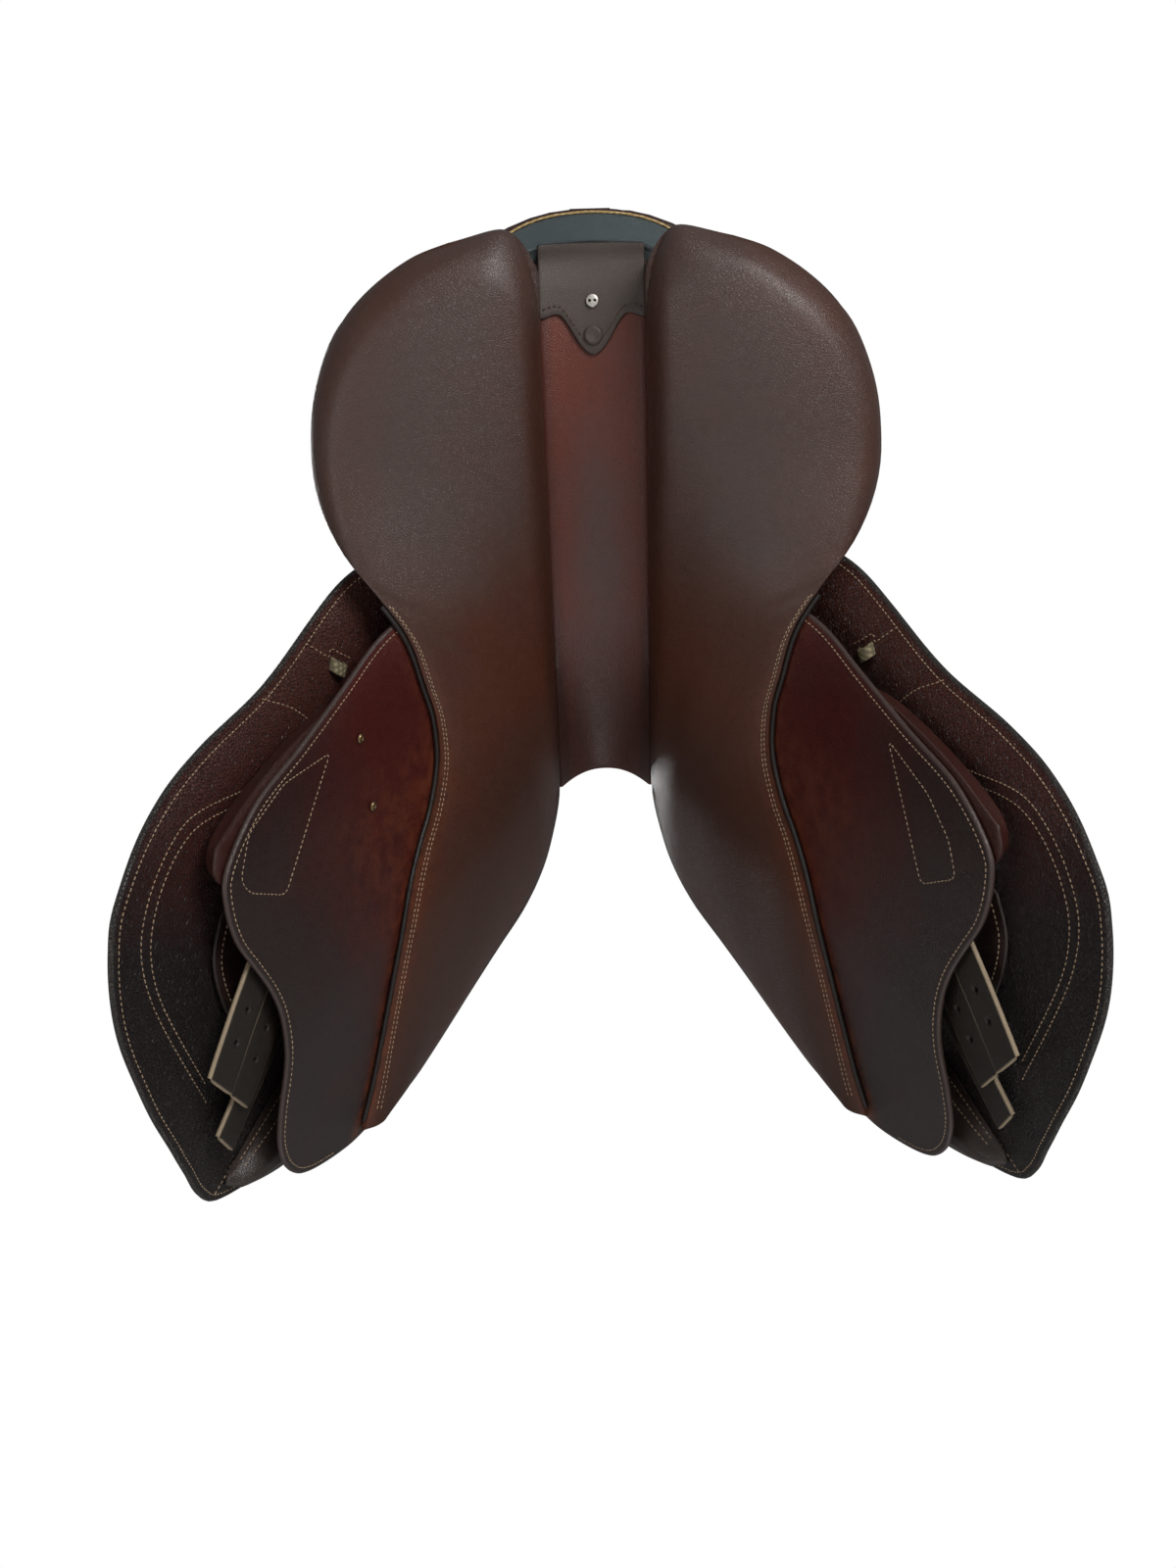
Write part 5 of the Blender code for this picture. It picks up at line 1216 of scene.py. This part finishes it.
def flap(side, tag):
    """Flap: pebbled outside, its inner side darkened at the foot by painted shade."""
    rear, bottom, front = flowing(FLAP_REAR, FLAP_BOTTOM, FLAP_FRONT)
    grid = patch(FLAP_TOP, bottom, rear, front, 60, 80)

    def rub_and_sheen(y, s):
        return 0.55 * (1.0 - ease((s - 0.20) / 0.14)) * (1.0 - ease((y - 0.02) / 0.05))

    # painted shade on the inner side: darker towards the foot and the front
    def shaded(y, s):
        return min(0.9, 0.7 * ease((s - 0.32) / 0.10) + 0.5 * ease((y - 0.03) / 0.07))

    paint = {"worn": each(grid, rub_and_sheen), "dark": each(grid, shaded)}
    made = body_between("flap_leather_" + tag, raised(grid, FLAP_IN), raised(grid, FLAP_OUT), pebbled, None,
                        side, 4, 1.0, paint, True)
    carved(made, notch_cutter(tag, side))
    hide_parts("flap_" + tag)
    body = "flap_assembly_" + tag
    bend(made, body, side)
    for row in FLAP_ROWS:
        sew(body, lifted(smooth(row, 80), FLAP_IN - THREAD_LIFT), side)
    edge_row = outline(FLAP_TOP, bottom, rear, front, *FLAP_ROW)
    for height in (FLAP_IN - THREAD_LIFT, FLAP_OUT + THREAD_LIFT):
        sew(body, lifted(edge_row, height), side)


def skirt(side, tag):
    """Skirt: stands over the stirrup bar, then lies down on the flap, with one row of stitches."""
    lying = FLAP_OUT + STRAP_GAP
    rear, bottom, front = flowing(SKIRT_REAR, SKIRT_BOTTOM, SKIRT_FRONT)
    grid = patch(SKIRT_TOP, bottom, rear, front, 36, 40)

    def level(above):
        return lambda y, s: SKIRT_OVER_BAR + (lying - SKIRT_OVER_BAR) * ease((s - 0.085) / 0.050) + above

    made = body_between("skirt_leather_" + tag, raised(grid, level(0.0)), raised(grid, level(SKIRT)), pebbled,
                        "skirt_" + tag, side)
    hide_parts("skirt_" + tag)
    line = outline(SKIRT_TOP, bottom, rear, front, *SKIRT_ROW)
    sew("skirt_" + tag, lifted(line, level(SKIRT + THREAD_LIFT)), side)


def guard(side, tag):
    """Buckle guard: a plain sheet that rises a little towards its foot, stitched on both faces."""
    grid = patch(GUARD_TOP, GUARD_BOTTOM, GUARD_REAR, GUARD_FRONT, 26, 28)
    top = GUARD_TOP[1][1]
    rise = GUARD_RISE / (GUARD_BOTTOM[2][1] - top)

    def level(above):
        return lambda y, s: GUARD_IN + above + rise * (s - top)

    body = "buckle_guard_" + tag
    made = body_between("guard_leather_" + tag, raised(grid, level(0.0)), raised(grid, level(GUARD)),
                        guard_hide, body, side)
    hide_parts("buckle_guard_" + tag)
    line = outline(GUARD_TOP, GUARD_BOTTOM, GUARD_REAR, GUARD_FRONT, GUARD_ROW)
    for above in (-THREAD_LIFT, GUARD + THREAD_LIFT):
        sew(body, lifted(line, level(above)), side)


def web(side, tag):
    """Webbing over the panel, packed up to each strap's level."""
    under = []
    over = []
    rows = 36
    for i in range(rows + 1):
        s = WEB_TOP_S + (WEB_BOTTOM_S - WEB_TOP_S) * i / rows
        line = [(y + math.tan(BILLET_LEAN_TOP) * (s - WEB_STEP_S), level) for y, level in WEB_STEPS]
        low = [max(WEB_IN, panel_top(y, s, 0.0) + WEB_SHY) for y, _ in line]
        packed = BILLET_PITCH * ease((s - WEB_PACK_S) / WEB_PACK_RISE)
        under.append([bearing(y, s, height) for (y, _), height in zip(line, low)])
        over.append([bearing(y, s, height + WEB + level * packed) for (y, level), height in zip(line, low)])
    made = body_between("girth_web_" + tag, under, over, webbing, "saddle", side, 2, 0.5)
    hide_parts("billet_web_" + tag)


def strap(number, name, y, s, side, tag):
    """Girth strap: cut leather with pale edges, an angled tip and a row of punched holes."""
    rows = 64
    half = (BILLET_WIDTH - BILLET) / 2
    grid = []
    middle = []
    for i in range(rows + 1):
        lean = BILLET_LEAN_TOP + (BILLET_LEAN_TIP - BILLET_LEAN_TOP) * i / rows
        line = []
        for k in range(-3, 4):
            across = half * k / 3
            back = BILLET_TIP_CUT * (half - across) / BILLET_WIDTH if i == rows else 0.0
            line.append((y + math.cos(lean) * across - math.sin(lean) * back,
                         s - math.sin(lean) * across - math.cos(lean) * back))
        grid.append(line)
        middle.append((y, s))
        y += math.sin(lean) * BILLET_LENGTH / rows
        s += math.cos(lean) * BILLET_LENGTH / rows
    low = BILLET_IN + number * BILLET_PITCH
    over = raised(grid, low + BILLET)
    body = "billet_%s_%s" % (name, tag)
    made = body_between("strap_%s_%s" % (name, tag), raised(grid, low), over, strap_hide, None, side)
    holes = []
    for k in range(HOLES):
        a, b = middle[rows - round((FIRST_HOLE + HOLE_PITCH * k) / BILLET_LENGTH * rows)]
        inner = bearing(a, b, low - 0.002)
        outer = bearing(a, b, low + BILLET + 0.002)
        holes.append((inner, outer, Y_AXIS, (outer - inner).normalized().cross(Y_AXIS)))
    carved(made, pins("punch", holes, HOLE_RADIUS, strap_hide, side))
    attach(made, body)
    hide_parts(body)
    for edge in (1, 5):
        sew(body, [row[edge] for row in over[3:14]], side, brown_thread)


def seat_layer(inset, drop=0.0, grooved=False):
    """Dense grid over one layer of the seat, whose rear rows follow the cantle's curve."""
    turns = [89.0, 86.0, 82.0, 77.0, 71.0, 64.0, 56.0, 48.0, 39.0, 30.0, 20.0, 10.0]
    rows = [CANTLE_Y - (CANTLE_Y - SEAT_REAR) * math.sin(math.radians(a)) for a in turns]
    rows += [CANTLE_Y + (SEAT_FRONT - CANTLE_Y) * k / 40 for k in range(41)]
    grid = []
    for y in rows:
        y = max(y, SEAT_REAR + inset + 0.0006)
        half = seat_half(y, inset)
        seam = SEAT_SEAM * seat_half(y)
        line = []
        for k in range(-20, 21):
            x = half * math.sin(math.pi / 2 * k / 20)
            z = seat_height(x, y, inset) - drop
            if grooved:
                # seams between the seat's middle and its two sides
                z -= SEAM_DEPTH * math.exp(-((abs(x) - seam) / SEAM_WIDTH) ** 2) * ease((y + 0.20) / 0.03)
            line.append(Vector((x, y, z)))
        grid.append(line)
    return grid


def seat():
    """Seat leather with its sewn seams, the latex under it and the welts along its lower edges."""
    made = body_between("seat_cover", seat_layer(SEAT_LEATHER), seat_layer(0.0, 0.0, True), seat_hide,
                        "saddle", edge=0.4)
    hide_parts("seat_leather")
    made = body_between("seat_cushion", seat_layer(FOAM_UNDER), seat_layer(SEAT_LEATHER, 2 * GAP), latex,
                        "saddle", rims=0, edge=0.0)
    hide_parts("seat_foam")
    for side in (1, -1):
        for aside in (-SEAM_ASIDE, SEAM_ASIDE):
            line = []
            for y in [-0.170 + 0.360 * k / 89 for k in range(90)]:
                x = SEAT_SEAM * seat_half(y) + aside
                line.append(Vector((x, y, seat_height(x, y) + THREAD_LIFT)))
            sew("saddle", line, side)
    for side, tag in ((1, "r"), (-1, "l")):
        path = []
        start = CANTLE_FACING_FRONT + 0.003
        for y in [start + (SEAT_FRONT - 0.002 - start) * i / 69 for i in range(70)]:
            drop = SEAT_LEATHER * through(RIM_DROP, y)
            path.append((seat_half(y) - WELT_RADIUS, y, seat_edge(y) - drop - WELT_RADIUS - 2 * GAP))
        cord = round_cord("seat_cord_" + tag, path, WELT_RADIUS, 10, piping_hide, "saddle", side)
        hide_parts("seat_welt_" + tag)


def facing_point(turn, t, depth):
    """Point of the cantle wall at an angle round the back and t down it, depth inside its face.

    A turn from -1 to 0 stands on the straight side, from its front end to where the curve starts.
    """
    outer = WALL_INSET + depth
    spots = []
    for inset in (outer, outer + CANTLE_TUCK * ease(t * 0.8) / ease(0.8)):
        if turn < 0.0:
            y = CANTLE_Y + (CANTLE_FACING_FRONT - CANTLE_Y) * -turn
            spots.append((seat_half(y, inset), y))
        else:
            reach = CANTLE_Y - SEAT_REAR - inset
            spots.append(((CANTLE_HALF - inset) * math.cos(turn), CANTLE_Y - reach * math.sin(turn)))
    (_, y0), (x, y) = spots
    top = through(SEAT_EDGE, y0) - outer * through(RIM_DROP, y0) - 0.001
    foot = min(deck(x, y), deck(GULLET_HALF, y)) + 0.0015
    return Vector((x, y, top + (foot - top) * t))


def plate_top(angle):
    """How far down the wall the plate starts: level across the back, then falling to its two corners."""
    return 0.27 + 0.68 * max(0.0, (abs(angle - 90.0) - 12.0) / (78.0 - PLATE_END)) ** 2


def cantle():
    """Cantle wall, the bare plate on its back and the gold cord round it."""
    # the wall's straight sides, then its curve round the back
    turns = [-1.0 + k / 8 for k in range(8)] + [math.pi / 2 * k / 30 for k in range(31)]
    outer, inner = [[both_halves([facing_point(turn, k / 10, depth) for turn in turns]) for k in range(11)]
                    for depth in (0.0, CANTLE_FACING)]
    # the wall wears the plate's leather darkened as painted shade
    made = body_between("cantle_wall", outer, inner, shaded_wall_hide, "saddle", rims=2, edge=0.3)
    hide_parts("cantle_facing")
    angles = [PLATE_END + 1.0 + (89.0 - PLATE_END) * k / 30 for k in range(31)]
    grids = []
    for depth, lift in ((-PLATE_IN, 0.0009), (-PLATE_OUT, 0.0)):
        grid = []
        for share in [k / 10 for k in range(11)]:
            down = [(a, plate_top(a) + (1.0 - plate_top(a)) * share) for a in angles]
            grid.append(both_halves([facing_point(math.radians(a), t, depth) for a, t in down]))
        # the plate's foot turns forward under the wall
        foot = grid[-1]
        for k in range(1, 7):
            narrowed = 1.0 - 0.02 * k
            grid.append([Vector((p.x * narrowed, p.y + 0.0026 * k, p.z - 0.0006 + lift)) for p in foot])
        grids.append(grid)
    body_between("cantle_plate", grids[0], grids[1], cantle_hide, "saddle", rims=2, edge=0.3)
    path = []
    for angle in [PLATE_END + (180.0 - 2 * PLATE_END) * i / 96 for i in range(97)]:
        p = facing_point(math.radians(min(angle, 180.0 - angle)), plate_top(angle),
                         -CANTLE_PIPING_RADIUS - PLATE_OUT)
        path.append((p.x if angle < 90.0 else -p.x, p.y, p.z))
    cord = round_cord("cantle_cord", path, CANTLE_PIPING_RADIUS * 0.8, 10, gold_cord, "saddle")
    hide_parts("cantle_piping")


def lining():
    """Gullet lining, with a painted sheen along its middle and painted shade towards the pommel and its
    sides.
    """
    columns = [(GULLET_HALF - GAP) * k / 12 for k in range(-12, 13)]
    rows = [LINING_REAR + (SEAT_FRONT - LINING_REAR) * k / 64 for k in range(65)]
    grid = [[(x, y) for x in columns] for y in rows]
    under, over = [each(grid, lambda x, y: Vector((x, y, lining_height(x, y) + depth)))
                   for depth in (0.0, LINING)]

    # painted sheen: a grey streak along the middle
    def rub_and_sheen(x, y):
        streak = math.exp(-((x - 0.05 * (y + 0.02)) / 0.021) ** 2)
        return 0.8 * streak * ease((y + 0.14) / 0.11) * (1.0 - ease(y / 0.13))

    # painted shade: darker towards the pommel and beside the panels
    def shaded(x, y):
        return min(1.0, 0.8 * ease((y - 0.02) / 0.14) + 0.5 * ease((abs(x) - 0.026) / 0.009))

    paint = {"worn": each(grid, rub_and_sheen), "dark": each(grid, shaded)}
    made = body_between("gullet_leather", under, over, lining_hide, "saddle", rims=2, edge=0.3, paint=paint)
    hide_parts("gullet_lining")


def tab():
    """Wavy tab at the gullet's rear, with a tongue at its front edge and a row of stitches."""
    rear = LINING_REAR - TAB_LONGER
    under = []
    over = []
    for i in range(15):
        line = []
        for x in [(TAB_HALF + TAB_WIDER) * k / 24 for k in range(-24, 25)]:
            tongue = TONGUE * (0.5 + 0.5 * math.cos(math.pi * min(1.0, abs(x) / TONGUE_HALF))) ** 0.85
            front = TAB_FRONT + tongue + 0.002 * ease((abs(x) - 0.026) / 0.010)
            y = rear + (front - rear) * i / 14
            line.append((x, y, lining_height(x, y) - STRAP_GAP))
        under.append([Vector((x, y, z - TAB)) for x, y, z in line])
        over.append([Vector(p) for p in line])
    made = body_between("tab_leather", under, over, tab_hide, "saddle")
    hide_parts("rear_tab")
    sew("saddle", [p + Vector((0.0, -TAB_ROW, -THREAD_LIFT)) for p in under[13][2:47]], 1, brown_thread)


def scaled(profile, radius, height):
    """Profile drawn in shares of a radius and a height, in metres."""
    return [(a * radius, b * height) for a, b in profile]


def tab_place(y):
    """Spot on the tab's underside at y, and the way out of it."""
    slope = (lining_height(0, y + 0.004) - lining_height(0, y - 0.004)) / 0.008
    down = Vector((0.0, slope, -1.0)).normalized()
    return Vector((0.0, y, lining_height(0, y) - STRAP_GAP - TAB)) + down * 2 * GAP, down


def button_and_screw():
    """Raised button in the tab's tongue, and the screw, with two round holes in its head."""
    place, down = tab_place(BUTTON_Y - BUTTON_BACK)
    profile = scaled(BUTTON_PROFILE, BUTTON_RADIUS, BUTTON)
    made = lathe("tab_button_cap", profile, place, down, 32, tab_hide, "saddle")
    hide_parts("tab_button")
    place, down = tab_place(SCREW_Y)
    profile = [(0.0, -SCREW_DEPTH - TAB), (SCREW_SHANK_RADIUS, -SCREW_DEPTH - TAB), (SCREW_SHANK_RADIUS, 0.0)]
    profile += scaled(SCREW_PROFILE, SCREW_HEAD_RADIUS, SCREW_HEAD)
    made = lathe("tab_screw_head", profile, place, down, 28, nickel, None)
    holes = [(place + down * SCREW_HEAD * 0.2 + X_AXIS * x, place + down * (SCREW_HEAD + 0.001) + X_AXIS * x,
              X_AXIS, Y_AXIS) for x in (-SCREW_HOLE_X, SCREW_HOLE_X)]
    # the holes' walls take the near-black metal: painted shade inside them
    carved(made, pins("spanner_holes", holes, SCREW_HOLE, painted_shade_metal))
    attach(made, "saddle")
    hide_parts("tab_screw")


def pommel():
    """Facing over the pommel's front, between the gullet's arch and the seat."""
    grids = []
    for y in (SEAT_FRONT + GAP, SEAT_FRONT + GAP + POMMEL_FACING):
        grid = []
        for turn in [math.radians(-90 + 5 * k) for k in range(37)]:
            x_out = seat_half(SEAT_FRONT) * math.sin(turn)
            x_in = (GULLET_HALF - GAP) * math.sin(turn)
            rise_x = x_out - x_in
            z_in = deck(x_in, SEAT_FRONT) + GAP
            rise_z = seat_height(x_out, SEAT_FRONT) - z_in
            grid.append([Vector((x_in + rise_x * k / 6, y, z_in + rise_z * k / 6)) for k in range(7)])
        grids.append(grid)
    made = body_between("pommel_leather", grids[0], grids[1], lining_hide, "saddle", rims=2, edge=0.3)
    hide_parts("pommel_facing")


def keeper(side, tag):
    """Keeper: a curved loop of worn webbing sewn to the flap's inner face."""
    grids = []
    for wall in (0.0, KEEPER_STRAP):
        grid = []
        for turn in [math.pi * (1.06 * i / 24 - 0.03) for i in range(25)]:
            rise = math.copysign(abs(math.sin(turn)) ** 0.8, math.sin(turn))
            middle = KEEPER_MIDDLE - KEEPER_RUN * (KEEPER_LENGTH / 2 - wall) * math.cos(turn)
            middle += KEEPER_ACROSS * KEEPER_BOW * rise
            line = [middle + KEEPER_ACROSS * KEEPER_WIDTH * (k / 6 - 0.5) for k in range(7)]
            grid.append(lifted(line, FLAP_IN - STRAP_GAP - (KEEPER_DEPTH - wall) * rise))
        grids.append(grid)
    made = body_between("keeper_loop_" + tag, grids[0], grids[1], keeper_webbing,
                        "flap_assembly_" + tag, side)
    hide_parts("flap_keeper_" + tag)


def fittings(side, tag):
    """Dee, staple, nail, stirrup bar with its catch and pin, and the flap's keeper."""
    face = SEAT_FRONT + GAP + POMMEL_FACING + GAP
    reach = 2 * STAPLE_WIRE + 2 * DEE_WIRE + 0.0016
    staple = [(DEE_X, face + reach * math.sin(math.pi * i / 24) ** 0.6 * 0.82,
               DEE_Z + STAPLE_HALF * math.cos(math.pi * i / 24)) for i in range(25)]
    made = round_cord("staple_wire_" + tag, staple, STAPLE_WIRE, 12, nickel, "saddle", side)
    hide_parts("dee_staple_" + tag)
    y = face + DEE_WIRE + 0.0012
    ring = [(DEE_X + DEE_HALF * (i / 6 - 1), y, DEE_Z) for i in range(13)]
    ring += [(DEE_X + DEE_HALF * math.cos(math.pi * i / 30), y, DEE_Z - DEE_DROP * math.sin(math.pi * i / 30))
             for i in range(1, 30)]
    made = round_cord("dee_wire_" + tag, ring, DEE_WIRE, 12, nickel, "dee_ring_" + tag, side, True)
    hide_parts("dee_ring_" + tag)

    x = seat_half(NAIL_Y) * 0.93
    slope = (seat_height(x + 0.002, NAIL_Y) - seat_height(x - 0.002, NAIL_Y)) / 0.004
    out = Vector((-slope * side, 0.0, 1.0)).normalized()
    place = Vector((side * x, NAIL_Y, seat_height(x, NAIL_Y))) + out * GAP
    turns = [math.radians(a) for a in (0, 15, 30, 45, 60, 75)]
    dome = [(0.0, 0.0)] + [(math.cos(turn), math.sin(turn)) for turn in turns] + [(0.0, 1.0)]
    made = lathe("nail_head_" + tag, scaled(dome, NAIL_RADIUS, NAIL_HEAD), place, out, 28, nickel, "saddle")
    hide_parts("pommel_nail_" + tag)
    bevelled("stirrup_bar_" + tag, forged, "saddle", 0.0007)
    bevelled("catch_pin_" + tag, nickel, "saddle", 0.0002, 1)
    bevelled("bar_catch_" + tag, nickel, "bar_catch_" + tag, 0.0003)
    keeper(side, tag)


def rivets():
    """Tubular rivets in the left sweat flap, with a dished head."""
    profile = scaled(RIVET_PROFILE, RIVET_RADIUS, RIVET_HEAD)
    for name, y, s in RIVETS:
        place = bearing(y, s, SWEAT_IN - 4 * GAP)
        inward = (bearing(y, s, 0.0) - bearing(y, s, 0.001)).normalized()
        made = lathe("rivet_%s_head" % name, profile, (-place.x, place.y, place.z),
                     (-inward.x, inward.y, inward.z), 24, dull_brass, "saddle")
        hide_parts("flap_rivet_" + name)


def inner_pieces():
    """Tree, springs, plate and webbing keep their CAD forms under the seat."""
    finishes = {"tree": beech, "head_plate": forged, "seat_webbing": webbing,
                "spring_steel_l": forged, "spring_steel_r": forged}
    for name, finish in finishes.items():
        nodes[name].data.materials.clear()
        nodes[name].data.materials.append(finish)


def backdrop(name, shape, glow):
    """Pale surface that only the camera sees: it whitens the background without lighting the leather."""
    paint, _, shader = blank(name)
    shader.inputs["Base Color"].default_value = (0.0, 0.0, 0.0, 1.0)
    shader.inputs["Specular IOR Level"].default_value = 0.0
    shader.inputs["Emission Color"].default_value = (1.0, 1.0, 1.0, 1.0)
    shader.inputs["Emission Strength"].default_value = glow
    mesh = bpy.data.meshes.new(name)
    shape.to_mesh(mesh)
    shape.free()
    mesh.materials.append(paint)
    made = show(name, mesh)
    made.visible_diffuse = False
    made.visible_glossy = False
    made.visible_shadow = False


def studio():
    """Pale floor far below, white wall and sky, and broad soft light from the cantle's side."""
    corners = [(x, y, FLOOR_Z) for x, y in ((-12, -12), (12, -12), (12, 12), (-12, 12))]
    mesh = bpy.data.meshes.new("floor")
    mesh.from_pydata(corners, [], [(0, 1, 2, 3)])
    paper, _, shader = blank("white paper floor")
    shader.inputs["Base Color"].default_value = colour("#f4f3f1")
    shader.inputs["Roughness"].default_value = 0.9
    mesh.materials.append(paper)
    show("floor", mesh)

    shape = bmesh.new()
    bmesh.ops.create_uvsphere(shape, u_segments=48, v_segments=24, radius=WALL_RADIUS)
    backdrop("white studio wall", shape, 1.0)
    shape = bmesh.new()
    above_floor = Matrix.Translation((0.0, 0.0, FINISH_Z))
    bmesh.ops.create_circle(shape, cap_ends=True, segments=96, radius=FINISH_RADIUS, matrix=above_floor)
    backdrop("pale floor finish", shape, 0.80)

    world = bpy.data.worlds.new("white studio")
    world.use_nodes = True
    sky = world.node_tree.nodes["Background"]
    sky.inputs["Color"].default_value = (1.0, 1.0, 1.0, 1.0)
    sky.inputs["Strength"].default_value = SKY
    bpy.context.scene.world = world

    for name, place, size, power in LAMPS:
        lamp = bpy.data.lights.new(name, "AREA")
        lamp.shape = "DISK"
        lamp.size = size
        lamp.energy = power
        made = show(name, lamp)
        made.location = place
        made.rotation_euler = (LAMPS_AIM - Vector(place)).to_track_quat("-Z", "Y").to_euler()


def photo_camera():
    """The photograph's camera, behind and below the saddle, rolled a little."""
    view = Vector((0.0, CAMERA_SIGHT[0], CAMERA_SIGHT[1])).normalized()
    up = Vector((0.0, -CAMERA_SIGHT[1], CAMERA_SIGHT[0])).normalized()
    roll = math.radians(CAMERA_ROLL)
    right = math.cos(roll) * X_AXIS - math.sin(roll) * up
    above = math.cos(roll) * up + math.sin(roll) * X_AXIS
    lens = bpy.data.cameras.new("photo camera")
    lens.lens = CAMERA_LENS
    lens.shift_x = CAMERA_SHIFT
    camera = show("photo camera", lens)
    turn = Matrix((right, above, -view)).transposed().to_4x4()
    turn.translation = CAMERA_PLACE
    camera.matrix_world = turn
    bpy.context.scene.camera = camera
    bpy.context.scene.view_settings.view_transform = "Standard"


def main():
    """All pieces, their stitches and the studio."""
    seat()
    cantle()
    lining()
    tab()
    button_and_screw()
    pommel()
    rivets()
    inner_pieces()
    for side, tag in ((1, "r"), (-1, "l")):
        cushion(side, tag)
        sweat_sheet(side, tag)
        blocks(side, tag)
        flap(side, tag)
        skirt(side, tag)
        guard(side, tag)
        web(side, tag)
        for number, (name, y, s) in enumerate(BILLET_TOPS):
            strap(number, name, y, s, side, tag)
        fittings(side, tag)
    for (body, _), made in sew_all((cream_thread, brown_thread)).items():
        if body.startswith("flap_assembly"):
            bend(made, body, 1 if body.endswith("r") else -1)
        else:
            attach(made, body)
    studio()
    photo_camera()


main()
